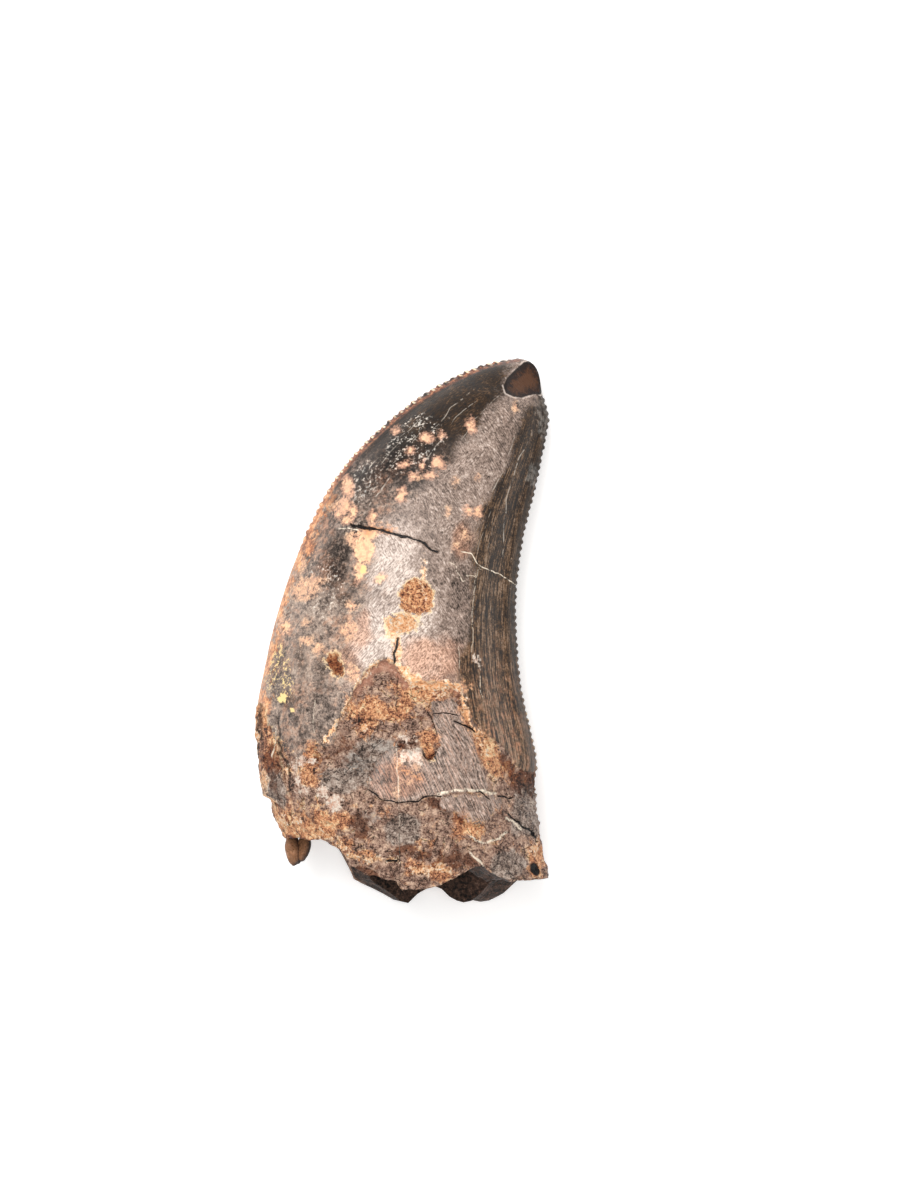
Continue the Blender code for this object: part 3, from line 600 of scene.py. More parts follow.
class Skin:
    """The tooth's outer surface as rows of points, before and after its fine relief."""

    def __init__(self, sizes):
        self.sizes = sizes
        self.u, self.upper = stations()
        self.share = np.linspace(0, 1, SKIN_ROWS + 1)[:, None]
        share = self.share[:, 0]
        self.front = at_share(curve_through(FRONT_EDGE), share)
        self.back = at_share(curve_through(BACK_EDGE), share)
        self.width = np.linalg.norm(self.back - self.front, axis=1)[:, None]
        thick = self.width * thickness_at(self.share)
        self.above, self.below = thick * UPPER_SHARE, thick * (1 - UPPER_SHARE)
        self.middle = underside_at(self.share) + self.below
        self.plain = self.place()
        self.out = self.normals(self.plain)
        self.points = self.relieve()

    def place(self):
        """Rows of points of the section, stretched to the broken rim."""
        self.height = section_height(self.u, self.share, self.upper)
        across = (self.u[None, :, None] + 1) / 2
        flat = blend(self.front[:, None], self.back[:, None], across)
        end_x, end_y = flat[-1].T
        rim = np.where(self.upper, along(UPPER_RIM, end_x), along(LOWER_RIM, end_x))
        other_rim = np.where(self.upper, 0, 9.0)  # gives the lower rim noise of its own
        place = np.stack([end_x, other_rim, 0 * end_x], axis=-1)
        rim = rim + (1 - np.abs(self.u) ** 6) * ragged(place, RIM_RAGGED, (4.7, 4.7))
        x = flat[..., 0]
        y = flat[..., 1] + (rim - end_y) * smooth(RIM_STRETCH_FROM, 1, self.share)
        z = self.middle + self.height * np.where(self.upper, self.above, -self.below)
        return np.stack([x, y, z], axis=-1)

    @staticmethod
    def normals(points):
        """Unit vectors that point out of rows of points."""
        down = np.gradient(points, axis=0)
        ring = np.concatenate([points[:, -2:-1], points, points[:, 1:2]], axis=1)
        round_ = np.gradient(ring, axis=1)[:, 1:-1]
        across = np.cross(round_, down)
        length = np.linalg.norm(across, axis=-1, keepdims=True)
        return across / np.maximum(length, 1e-9)

    def sample(self):
        """Where each point looks up its marks: itself above, a shifted place below."""
        x, y, _ = np.moveaxis(self.plain, -1, 0)
        under = np.where(self.upper, 0, 1 - smooth(0.7, 0.97, np.abs(self.u)))
        wander = waves(self.plain, 4.0, 9.1)
        return x + 1.5 * under * wander, y + 4.5 * under * (1 + 0.4 * wander)

    def relieve(self):
        """The skin with everything that stands out of it or is sunk into it."""
        x, y = self.sample()
        self.mark_x = x + ragged(self.plain, MARKS_RAGGED, (1.0, 2.0))
        self.mark_y = y + ragged(self.plain, MARKS_RAGGED, (3.0, 5.0))
        self.line_x = x + ragged(self.plain, LINES_RAGGED, (21.0,))
        self.line_y = y + ragged(self.plain, LINES_RAGGED, (23.0,))
        self.bare = bare_depth(self.mark_x, self.mark_y)
        points = self.plain + self.out * self.lift(y)[..., None]
        points[..., 0] -= flake(self.u, y)
        face = (1 - np.abs(self.u) ** 8) * np.where(self.upper, 1, -UNDER_LEDGE)
        points[..., 2] -= self.sunk(x, y) * face
        facet = np.maximum(facet_height(points[..., 0], points[..., 1]), self.middle)
        points[..., 2] = np.where(self.upper, np.minimum(points[..., 2], facet), points[..., 2])
        self.saw(points)
        points[..., 2] = np.maximum(points[..., 2], 0)
        return points

    def lift(self, y):
        """How far the crust's lumps and grains and the enamel's slow waves stand out."""
        sizes = self.sizes
        root = smooth(ROOT_FROM_Y, ROOT_FROM_Y - ROOT_OVER, y)
        rough = np.maximum(root, smooth(0, LEDGE_SLOPE, self.bare))
        slow = lumps(self.plain, CRUST_LUMP, 3)
        grains = sum(share * np.abs(waves(self.plain, length, seed))
                     for share, length, seed in GRAINS) - 0.3
        self.lump = np.clip(0.6 * slow + grains - 0.5, -1, 1)
        lift = sizes.crust_height * rough * slow + sizes.grain_height * rough * (grains - 0.4)
        lift += sizes.enamel_wave * waves(self.plain, ENAMEL_WAVELENGTH)
        return lift / MM * smooth(0, 4, self.width)

    def sunk(self, x, y):
        """How far the bare ground, the pits and the cracks lie below the enamel."""
        sunk = self.sizes.ledge_depth / MM * smooth(0, LEDGE_SLOPE, self.bare)
        sunk += np.where(self.upper, pit_depth(x, y), 0)
        offset, near = line_fields(LINES["crack"], self.line_x, self.line_y)
        groove = np.maximum(0, 1 - np.abs(offset) / CRACK_GROOVE) * near
        return sunk + self.sizes.crack_depth / MM * groove * self.upper

    def saw(self, points):
        """Raises the denticles along both cutting edges."""
        half = (self.u + 1) / 2
        self.front_gap, self.back_gap = half * self.width, (1 - half) * self.width
        phase = self.share * DENTICLES
        crown = np.abs(np.cos(np.pi * phase)) ** DENTICLE_BLUNTNESS - DENTICLE_ROOT
        worn = 0.8 + 0.2 * np.sin(phase * 2.4) * np.sin(phase * 0.7)
        near = smooth(DENTICLE_REACH, 0, np.abs(self.plain[..., 2] - self.middle))
        tall = self.sizes.denticle_height / MM * crown * worn * near
        for edge, gap, (first, last), side in (
            (self.front, self.front_gap, FRONT_DENTICLES, -1),
            (self.back, self.back_gap, BACK_DENTICLES, 1),
        ):
            run = np.gradient(edge, axis=0)
            run /= np.maximum(np.linalg.norm(run, axis=1, keepdims=True), 1e-9)
            outward = np.stack([-run[:, 1], run[:, 0]], axis=-1) * side
            kept = smooth(first - 0.01, first, self.share)
            kept = kept * smooth(last + 0.03, last - 0.03, self.share)
            height = tall * kept * smooth(*KEEL_WIDTH, gap)
            points[..., 0] += height * outward[:, :1]
            points[..., 1] += height * outward[:, 1:]


def hollow_rows(skin):
    """Rows across the broken edge and then along the pulp cavity to its closed end."""
    edge = skin.points[-1]
    centre = (skin.front[-1] + skin.back[-1]) / 2
    middle, width = skin.middle[-1, 0], skin.width[-1, 0]
    tall = (skin.above[-1, 0] + skin.below[-1, 0]) / 2

    def across(inward, lift):
        """A row this share of the way across the break, lifted up the tooth by this much."""
        side = 1 - inward * WALL_SIDE / (width / 2)
        face = 1 - inward * WALL_FACE / tall
        return np.stack([
            blend(centre[0], edge[:, 0], side), edge[:, 1] + lift,
            blend(middle, edge[:, 2], face),
        ], axis=-1)

    rows = []
    for inward in np.linspace(0, 1, RIM_ROWS + 1)[1:]:
        rough = 0.25 + ragged(across(inward, 0), BREAK_RAGGED, (3.3, 8.8))
        rows.append(across(inward, rough * math.sin(math.pi * inward)))
    mouth = rows[-1]
    for depth in np.linspace(0, 1, CAVITY_ROWS + 1)[1:]:
        size = math.sqrt(1 - depth * depth)
        place = np.stack([
            blend(centre[0], mouth[:, 0], size), blend(mouth[:, 1], CAVITY_ROOF_Y, depth),
            blend(middle, mouth[:, 2], size),
        ], axis=-1)
        swell = 0.22 * waves(place, 1.3, 5.5) * size * min(1, 4 * depth)
        away = place - [centre[0], 0, middle]
        away[:, 1] = 0
        away /= np.maximum(np.linalg.norm(away, axis=1, keepdims=True), 1e-6)
        rows.append(place + away * swell[:, None])
    return np.array(rows)


def surface_fields(skin):
    """Every number that the finish reads, by name, for each point of the skin."""
    x, y = skin.mark_x, skin.mark_y
    own_x, own_y = skin.sample()
    seen = np.where(skin.upper, 1, smooth(0.9, 1, np.abs(skin.u)))
    away = MARK_LIMIT * (1 - seen)
    wide_x = own_x + ragged(skin.plain, PATCHES_RAGGED, (12.0,))
    wide_y = own_y + ragged(skin.plain, PATCHES_RAGGED, (14.0,))
    fields = {
        "length": own_y,
        "under": np.broadcast_to(np.where(skin.upper, 0.0, 1.0), x.shape),
        "saw_phase": np.broadcast_to(skin.share, x.shape),
        "front_gap": np.minimum(skin.front_gap, 4),
        "back_gap": np.minimum(skin.back_gap, 4),
        "edge_rise": np.minimum(np.abs(skin.plain[..., 2] - skin.middle), 4),
        "smoke": smooth(*SMOKE_BLEND, along(SMOKE_LINE, wide_y, 1, 0) - wide_x),
        "band": smooth(*BAND_BLEND, wide_x - along(BAND_LINE, wide_y, 1, 0)),
        "lump": skin.lump,
        "bare": np.clip(skin.bare, -1.5, 1.5),
        "shelf": np.clip(depth_inside(BARE, x, y), -1, 1),
        "facet": np.clip(depth_inside(FACET, own_x, own_y), -1, 1) * seen - (1 - seen),
        "frost": depth_along(FROST, x, y),
        "pit": depth_in_marks([pit[:4] for pit in PITS], x, y) * seen - away,
        "hole": depth_in_marks(HOLES, own_x, own_y) * seen - away,
    }
    fields |= {name: depth_in_marks(marks, x, y) for name, marks in MARKS.items()}
    fields |= {name: soft_marks(marks, wide_x, wide_y) for name, marks in PATCHES.items()}
    fields |= {name: soft_marks(marks, own_x, own_y) for name, marks in STILL_PATCHES.items()}
    for name, lines in LINES.items():
        strays = LINE_STRAYS[name]
        line_x, line_y = blend(own_x, skin.line_x, strays), blend(own_y, skin.line_y, strays)
        offset, near = line_fields(lines, line_x, line_y)
        fields[f"{name}_offset"], fields[f"{name}_near"] = offset, near * seen
    return fields


def uv_places(skin, rows):
    """The UV map: u runs round the root and v along the tooth, each by its real length."""
    ring = skin.points[SKIN_ROWS * 3 // 4]
    steps = np.linalg.norm(np.diff(ring, axis=0), axis=1)
    round_ = np.hstack([0, np.cumsum(steps)])
    u = round_ / round_[-1] * (BEAD_STRIP - 2 * MAP_MARGIN) + MAP_START
    middle = rows[:, np.argmax(skin.height[-1] * skin.upper)]
    lengths = np.linalg.norm(np.diff(middle, axis=0), axis=1)
    v = np.hstack([0, np.cumsum(lengths)]) / lengths.sum() * (1 - 2 * MAP_MARGIN) + MAP_MARGIN
    return np.stack(np.meshgrid(u, v), axis=-1)


def only(item):
    """Leaves this object alone selected and active."""
    bpy.ops.object.select_all(action="DESELECT")
    item.select_set(True)
    bpy.context.view_layer.objects.active = item


def grow_skin(sizes):
    """The tooth's mesh from a grid wrapped round it, with the numbers that its finish reads."""
    skin = Skin(sizes)
    rows = np.concatenate([skin.points, hollow_rows(skin)])
    down, across = rows.shape[:2]
    bpy.ops.object.select_all(action="DESELECT")
    bpy.ops.mesh.primitive_grid_add(x_subdivisions=across - 1, y_subdivisions=down - 1, size=2)
    piece = bpy.context.object
    piece.name = piece.data.name = PIECE
    mesh = piece.data
    grid = np.empty(len(mesh.vertices) * 3)
    mesh.vertices.foreach_get("co", grid)
    grid = grid.reshape(-1, 3)
    column = np.rint((grid[:, 0] + 1) / 2 * (across - 1)).astype(int)
    row = np.rint((1 - grid[:, 1]) / 2 * (down - 1)).astype(int)
    mesh.vertices.foreach_set("co", (rows[row, column] * MM).ravel())
    for name, field in surface_fields(skin).items():
        inner = np.repeat(field[-1:], down - len(field), axis=0)
        add_field(mesh, name, np.concatenate([field, inner])[row, column])
    inside = np.hstack([np.zeros(SKIN_ROWS + 1), np.linspace(0, 1, RIM_ROWS + 1)[1:],
                        np.full(CAVITY_ROWS, 2.0)])
    add_field(mesh, "inside", inside[row])
    corners = np.empty(len(mesh.loops), int)
    mesh.loops.foreach_get("vertex_index", corners)
    mesh.uv_layers[0].name = UV_MAP
    places = uv_places(skin, rows)[row, column][corners]
    mesh.uv_layers[UV_MAP].data.foreach_set("uv", places.ravel())
    mesh.update()
    bpy.ops.object.mode_set(mode="EDIT")
    bpy.ops.mesh.select_all(action="SELECT")
    bpy.ops.mesh.remove_doubles(threshold=2e-6)
    bpy.ops.mesh.normals_make_consistent(inside=False)
    bpy.ops.object.mode_set(mode="OBJECT")
    return piece


def add_field(mesh, name, values):
    """Gives each point of the mesh a number that the finish can read."""
    field = mesh.attributes.new(name, "FLOAT", "POINT")
    field.data.foreach_set("value", values.astype(np.float32).ravel())


def add_bead(piece):
    """Shapes the two lobes of the bead and joins them to the tooth."""
    lobes = []
    light = Vector(BEAD_LIT_FROM)
    for number, (centre, half_lengths, turn) in enumerate(BEAD_LOBES):
        leant = Matrix.Rotation(math.radians(turn), 3, "Z")
        seed = Vector((number * 3.1, 0, 0))
        lit_share = []
        bpy.ops.object.select_all(action="DESELECT")
        bpy.ops.mesh.primitive_ico_sphere_add(subdivisions=4, radius=1)
        lobe = bpy.context.object
        for vert in lobe.data.vertices:
            way = vert.co.copy()
            (tall, wide), (fine_tall, fine_wide) = BEAD_LUMPS
            lump = 1 + tall * noise.noise(way * wide + seed)
            lump += fine_tall * noise.noise(way * fine_wide)
            scaled = Vector(c * h * lump for c, h in zip(way, half_lengths))
            vert.co = (Vector(centre) + leant @ scaled) * MM
            # Each point's painted light: 1 on the bead's far side, up to 2 where it faces
            # BEAD_LIT_FROM.
            lit_share.append(1 + max(0.0, way.dot(light)))
        layer = lobe.data.uv_layers[0]
        layer.name = UV_MAP
        for corner in layer.data:
            u, v = corner.uv
            corner.uv = (BEAD_STRIP + 0.05 * u + MAP_MARGIN, 0.05 + 0.4 * v + 0.45 * number)
        add_field(lobe.data, "bead", np.array(lit_share))
        lobes.append(lobe)
    only(piece)
    for lobe in lobes:
        lobe.select_set(True)
    bpy.ops.object.join()


def settle(piece):
    """Stands the piece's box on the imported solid's: same middle, lowest point at zero."""
    size = len(piece.data.vertices)
    points = np.empty(size * 3)
    piece.data.vertices.foreach_get("co", points)
    points = points.reshape(-1, 3)
    low, high = points.min(axis=0), points.max(axis=0)
    box_low, box_high = (np.array(corner) for corner in SOLID_BOX)
    shift = (box_low + box_high - low - high) / 2
    shift[2] = box_low[2] - low[2]
    piece.data.vertices.foreach_set("co", (points + shift).ravel())
    piece.data.update()


class Value:
    """A number in a material. Arithmetic on it adds Math nodes."""

    def __init__(self, paint, socket):
        self.paint, self.socket = paint, socket

    def math(self, operation, *terms):
        sockets = dict(enumerate(terms))
        return self.paint.value("ShaderNodeMath", {"operation": operation}, sockets)

    def __add__(self, other):
        return self.math("ADD", self, other)

    def __sub__(self, other):
        return self.math("SUBTRACT", self, other)

    def __rsub__(self, other):
        return self.math("SUBTRACT", other, self)

    def __mul__(self, other):
        return self.math("MULTIPLY", self, other)

    def __abs__(self):
        return self.math("ABSOLUTE", self)

    __radd__, __rmul__ = __add__, __mul__

    def most(self, other):
        return self.math("MAXIMUM", self, other)

    def cosine(self):
        return self.math("COSINE", self)

    def step(self, low, high):
        """0 at low and 1 at high, smooth between them."""
        return self.paint.value(
            "ShaderNodeMapRange", {"interpolation_type": "SMOOTHSTEP"},
            {"Value": self, "From Min": low, "From Max": high},
        )


class Paint:
    """Builds the nodes of one material."""

    def __init__(self, name):
        self.material = bpy.data.materials.new(name)
        self.material.use_nodes = True
        self.tree = self.material.node_tree
        self.shader = self.tree.nodes["Principled BSDF"]

    def plug(self, node, sockets):
        """Gives a node's sockets their values or links."""
        for key, given in sockets.items():
            given = getattr(given, "socket", given)
            if isinstance(given, bpy.types.NodeSocket):
                self.tree.links.new(given, node.inputs[key])
            else:
                node.inputs[key].default_value = given

    def node(self, kind, settings, sockets):
        """A node of this type, its settings first and then its sockets."""
        made = self.tree.nodes.new(kind)
        for name, setting in settings.items():
            if name == "stops":
                self.set_stops(made.color_ramp, setting)
            else:
                setattr(made, name, setting)
        self.plug(made, sockets)
        return made

    @staticmethod
    def set_stops(ramp, stops):
        while len(ramp.elements) < len(stops):
            ramp.elements.new(1)
        for element, (place, shade) in zip(ramp.elements, stops):
            element.position, element.color = place, (*shade, 1)

    def value(self, kind, settings, sockets, output=0):
        return Value(self, self.node(kind, settings, sockets).outputs[output])

    def field(self, name):
        return self.value("ShaderNodeAttribute", {"attribute_name": name}, {}, "Fac")

    def noise(self, where, scale, detail=3.0, roughness=0.5, distortion=0.0):
        return self.value("ShaderNodeTexNoise", {}, {
            "Vector": where, "Scale": scale, "Detail": detail, "Roughness": roughness,
            "Distortion": distortion,
        })

    def streaks(self, where, turn, length, width, detail=2.0):
        """Noise drawn out along a way that is turned this many degrees from +X."""
        turned = self.node("ShaderNodeMapping", {"vector_type": "TEXTURE"}, {
            "Vector": where, "Rotation": (0, 0, math.radians(turn)),
            "Scale": (length, width, width),
        }).outputs[0]
        return self.noise(turned, 1.0, detail)

    def cover(self, under, over, share, how="MIX"):
        """The colour under, covered by the colour over to this share."""
        colours = [(*c, 1) if isinstance(c, (tuple, list)) else c for c in (under, over)]
        return self.node("ShaderNodeMix", {"data_type": "RGBA", "blend_type": how}, {
            0: share, 6: colours[0], 7: colours[1],
        }).outputs[2]

    def ramp(self, share, stops):
        return self.node("ShaderNodeValToRGB", {"stops": stops}, {0: share}).outputs[0]


# The finish's noises in space, which count waves to the millimetre, and those drawn out along
# the tooth on its UV map: (scale, detail, roughness, distortion).
NOISES = {
    "blotch": (0.32, 3),
    "cloud": (0.62, 4, 0.6, 0.4),
    "plate": (0.75, 3, 0.5, 0.6),
    "shade": (0.8, 3, 0.55, 0.8),
    "mottle": (1.1, 4, 0.6),
    "clump": (1.9, 4, 0.6, 0.3),
    "speck": (3.6, 3, 0.65),
    "fine": (7.0, 3, 0.75),
}
MAP_STRETCH = (58.0, 5.0, 1.0)
MAP_NOISES = {"grain": (6.5, 3, 0.65), "wide_grain": (1.5, 3, 0.55)}
# Brushed noises: (degrees from +X, length, width, detail).
STREAKS = {
    "hatch": (-60, 0.5, 0.11),
    "swirl": (52, 0.42, 0.11),
    "nick": (-57, 1.3, 0.16, 1.0),
    "brush": (-64, 2.2, 0.1),
    "hair": (50, 1.6, 0.13),
}
# Where each colour of a stain stands on its ramp, and the black below them all.
FAMILY_STOPS = {"_dark": 0.28, "": 0.48, "_light": 0.68, "_pale": 0.92}
BLACK_STOP = 0.04


class Fossil(Paint):
    """The fossil's finish: stained enamel, bare ground, crust, marks, cracks and cavity."""

    def __init__(self, colours):
        super().__init__("fossil tooth")
        self.shader.inputs["IOR"].default_value = 1.5
        self.shader.inputs["Specular IOR Level"].default_value = 0.25
        self.c = {name: tuple(getattr(colours, name)) for name in colours.__annotations__}
        self.make_noises()
        self.find_masks()

    def make_noises(self):
        """Every noise by name, each about zero, and the strokes that are made from them."""
        own_place = self.node("ShaderNodeTexCoord", {}, {}).outputs["Object"]
        where = self.node("ShaderNodeVectorMath", {"operation": "SCALE"}, {
            0: own_place, "Scale": 1 / MM,
        }).outputs[0]
        map_place = self.node("ShaderNodeUVMap", {"uv_map": UV_MAP}, {}).outputs[0]
        run = self.node("ShaderNodeMapping", {"vector_type": "POINT"}, {
            "Vector": map_place, "Scale": MAP_STRETCH,
        }).outputs[0]
        made = self.noises = {}
        for name, settings in NOISES.items():
            made[name] = self.noise(where, *settings) - 0.5
        for name, settings in MAP_NOISES.items():
            made[name] = self.noise(run, *settings) - 0.5
        for name, settings in STREAKS.items():
            made[name] = self.streaks(where, *settings) - 0.5
        swirled = (made["blotch"] + self.field("crest") * 0.15).step(-0.05, 0.14)
        made["streak"] = made["hatch"] + (made["swirl"] - made["hatch"]) * swirled
        made["nick"] = abs(made["nick"]).step(0.045, 0.0) * made["mottle"].step(-0.04, 0.12)
        made["ragged"] = self.mix(clump=0.45, speck=0.45, fine=0.25)

    def find_masks(self):
        """Where the ground is bare, pitted, hollow or parted into plates."""
        f = self.field
        self.bare = (f("bare") + self.mix(ragged=1) * (f("lost") * 3.0 + 0.4)).step(-0.05, 0.05)
        self.pit = self.mark("pit", 0.05, 1.5)
        # The broken edge, the pulp cavity and the underside past the rim: their colour is darkened
        # as painted shade.
        edge = f("under") * f("length").step(-16.5, -18.5)
        self.hollow = f("inside").step(0.0, 0.12).most(edge)
        gap = abs(self.mix(plate=1, fine=0.03)).step(0.022, 0.006)
        self.gap = gap * self.mix(mottle=1).step(-0.05, 0.1)

    def mix(self, **weights):
        """The noises that are named, each times its weight, added up."""
        parts = [self.noises[name] * weight for name, weight in weights.items()]
        return sum(parts[1:], parts[0])

    def family(self, name, tone):
        """The ramp through a stain's dark, middle, light and pale colours."""
        stops = [(place, self.c[name + suffix]) for suffix, place in FAMILY_STOPS.items()]
        return self.ramp(tone, [(BLACK_STOP, self.c["soot"]), *stops])

    def mark(self, name, soft=0.06, rough=1.0, shift=0.0):
        """A mark's cover, from a ragged edge that is this soft and this rough."""
        return (self.field(name) + self.mix(ragged=rough) + shift).step(-soft, soft)

    def line(self, name):
        """The cover of the cracks, seams or scratches, a little frayed."""
        offset = abs(self.field(f"{name}_offset")) + self.mix(fine=1.6, speck=1.4)
        return offset.step(1.3, 0.5) * self.field(f"{name}_near")

    def chalky(self):
        """White crumbs on pink."""
        share = self.mix(speck=1, clump=1, fine=0.5).step(-0.2, 0.2)
        return self.cover(self.c["salmon"], self.c["chalk"], share)

    def ochre(self):
        """Yellow-orange crumbs with cream on top."""
        c = self.c
        return self.ramp(self.mix(speck=1.6, fine=1.3, clump=0.8) + 0.49, [
            (0.15, c["rust"]), (0.4, c["rust_light"]), (0.6, c["frost"]), (0.85, c["chalk"]),
        ])

    def enamel(self):
        """Grey-brown, paler and pinker on the crest, partly as a painted sheen, with fine broken
        strokes all over.
        """
        f, c = self.field, self.c
        # On the crest the strokes are stronger and the tone paler: paler enamel and a painted
        # sheen.
        tone = self.mix(streak=1) * (f("crest") * 0.5 + 1.0)
        tone = tone + self.mix(speck=0.6, fine=0.9, clump=0.5, cloud=0.45, nick=0.2)
        # The dusk patches take tone off as painted shade.
        tone = tone + f("crest") * 0.27 - f("dusk") * 0.14 + 0.48
        island = f("shelf").step(0.0, 0.5)
        tone = tone + (self.mix(brush=0.8) - 0.04) * island
        enamel = self.family("enamel", tone)
        stain = island * self.mix(brush=1).step(-0.02, 0.16) * 0.35
        enamel = self.cover(enamel, c["arch_light"], stain)
        pink = (f("blush") * 0.8 + self.mix(cloud=1, speck=0.4)).step(0.0, 0.9)
        enamel = self.cover(enamel, c["blush"], pink * 0.9, "MULTIPLY")
        front = (f("smoke") + self.mix(cloud=1.1, mottle=0.9, speck=0.6)).step(0.22, 0.78)
        return self.cover(enamel, self.smoke(), front)

    def smoke(self):
        """The dark front of the crown: black above the long crack, brown towards the tip."""
        f, c = self.field, self.c
        height = f("length") + self.mix(mottle=4.0)
        tone = self.mix(streak=0.4, speck=0.9, fine=0.6, clump=0.8, mottle=0.8, cloud=0.5)
        tone = tone + 0.52 - height.step(10.0, 13.5) * 0.22 + height.step(9.0, 0.0) * 0.12
        # The dusk patches darken the front too, as painted shade.
        smoke = self.family("smoke", tone - f("dusk") * 0.11)
        pink = self.mix(blotch=1, clump=1).step(-0.1, 0.3)
        smoke = self.cover(smoke, c["blush"], pink, "MULTIPLY")
        umber = self.ramp(self.mix(hair=1.2, speck=0.5, cloud=0.8) + 0.5, [
            (0.25, c["soot"]), (0.6, c["umber"]), (1.0, c["band_light"]),
        ])
        return self.cover(smoke, umber, height.step(13.5, 17.0))

    def banded(self, colour):
        """The grained back of the crown, warmer and lighter towards the root, with painted shade
        along the back edge.
        """
        f, c = self.field, self.c
        low = f("length").step(2.0, -10.0)
        tone = self.mix(grain=2.3, wide_grain=1.0, speck=0.9, fine=1.1, clump=0.5, cloud=0.6)
        tone = tone + 0.455 + low * 0.17 - f("length").step(8.0, 15.0) * 0.1
        band = self.family("band", tone)
        rusty = self.mix(clump=1, grain=1).step(-0.05, 0.3) * low * 0.55
        band = self.cover(band, c["rust"], rusty)
        # Painted shade along the back cutting edge, where the crown turns away from the light.
        band = self.cover(band, c["band_dark"], f("back_gap").step(1.1, 0.2) * 0.6)
        share = (f("band") + self.mix(grain=1.0, speck=0.6, mottle=0.7)).step(0.25, 0.8)
        return self.cover(colour, band, share)

    def sooted(self, colour):
        """A thin grey film, and gritty soot."""
        c = self.c
        film = self.field("bloom") * 0.7 + self.mix(clump=1.6, speck=1.6, grain=1.4)
        colour = self.cover(colour, c["bloom"], film.step(0.3, 1.1) * 0.3)
        grit = self.mix(speck=1, fine=0.8, clump=0.4).step(0.16, -0.12) * 0.65 + 0.35
        return self.cover(colour, c["grime"], self.mark("soot", 0.25, 2.6) * grit, "MULTIPLY")

    def specked(self, colour):
        """Bluish-white specks on the dark front."""
        dots = self.mix(speck=1, clump=0.6, fine=0.5).step(0.08, 0.16)
        dots = dots * (self.field("specks") + self.mix(mottle=1.5)).step(0.2, 0.6)
        whiter = self.mix(mottle=1, fine=1).step(-0.1, 0.25)
        pale = self.cover(self.c["bloom"], self.c["chalk"], whiter)
        return self.cover(colour, pale, dots * 0.9)

    def patched(self, colour):
        """Salmon and cream patches, made of crumbs."""
        f, c = self.field, self.c
        crumb = self.mix(speck=1.5, fine=1.2, clump=1.1) + 0.5
        salmon = self.ramp(crumb, [
            (0.1, c["enamel"]), (0.35, c["salmon"]), (0.65, c["tan"]), (1.0, c["cream"]),
        ])
        spread = (f("salmon") + self.mix(mottle=0.9, ragged=1.5)).step(-0.15, 0.35)
        spread = spread * self.mix(speck=1, fine=1).step(-0.3, 0.06)
        colour = self.cover(colour, salmon, spread * 0.9)
        cream = self.ramp(crumb, [
            (0.1, c["salmon"]), (0.4, c["tan"]), (0.65, c["frost"]), (1.0, c["cream"]),
        ])
        high = f("length").step(7.0, 12.0)
        pinker = high * self.mix(mottle=1, clump=1).step(-0.2, 0.2) * 0.7
        cream = self.cover(cream, c["salmon"], pinker)
        colour = self.cover(colour, c["salmon"], self.mark("cream", 0.2, 1.8, 0.1) * 0.75)
        return self.cover(colour, cream, self.mark("cream", 0.07, 1.6, high * -0.08))

    def crumbed(self, colour):
        """Yellow flecks, rust, ochre and chalk on the enamel."""
        f, c = self.field, self.c
        fleck = self.mix(speck=1, fine=0.7, wide_grain=0.5).step(0.07, 0.13)
        fleck = fleck * (f("flecks") + self.mix(mottle=1)).step(0.25, 0.6)
        colour = self.cover(colour, c["yellow"], fleck * 0.9)
        rusty = self.family("rust", self.mix(speck=1, fine=0.6, clump=0.7) + 0.5)
        colour = self.cover(colour, rusty, self.mark("rust", 0.3, 2.4) * 0.85)
        colour = self.cover(colour, self.ochre(), self.mark("yellow", 0.1, 2.2, 0.03) * 0.9)
        colour = self.cover(colour, self.chalky(), self.mark("chalk", 0.15, 2.2, -0.05) * 0.8)
        return self.cover(colour, c["yellow"], self.mark("lemon", 0.05, 1.4))

    def ground(self):
        """Bare dentine and crust: brown, grey and rusty plates, grained, with dark gaps, painted
        lighter on its lumps and painted shade in its creases.
        """
        f, c = self.field, self.c
        # Painted shade in the creases of the crust's relief.
        crease_shade = abs(self.mix(clump=1)).step(0.05, 0.0)
        crease_shade = crease_shade + abs(self.mix(mottle=1)).step(0.035, 0.0)
        tone = self.mix(speck=1.1, fine=1.5, clump=1.1, mottle=0.7)
        # The lumps are painted lighter as a painted highlight.
        tone = tone + f("lump") * 0.25 - crease_shade * 0.12 + 0.635
        ground = self.family("crust", tone)
        ashy = (f("ash") + self.mix(cloud=1.2, mottle=0.8, speck=0.5)).step(0.3, 0.75)
        ground = self.cover(ground, self.family("ash", tone), ashy * 0.9)
        film = f("bloom") * 0.7 + self.mix(clump=1.6, speck=1.6)
        ground = self.cover(ground, c["bloom"], film.step(0.3, 1.1) * 0.5)
        ground = self.rusted(ground, tone)
        # The dark ground patches are partly painted shade under the broken rim.
        shadow = self.mix(shade=1, clump=0.5) + f("soot") * 0.12 + f("gloom") * 0.3
        shadow = (shadow - ashy * 0.06).step(0.0, 0.22)
        ground = self.cover(ground, c["shade"], shadow, "MULTIPLY")
        ground = self.cover(ground, c["crack"], self.gap * 0.8)
        ground = self.arched(ground)
        ground = self.cover(ground, self.ochre(), self.mark("yellow", 0.08, 2.0) * 0.9)
        glint = self.mix(fine=1, speck=0.6, clump=0.15).step(0.2, 0.28)
        ground = self.cover(ground, c["chalk"], glint * 0.95)
        return self.cover(ground, self.chalky(), self.mark("chalk", 0.15, 1.8, 0.05) * 0.95)

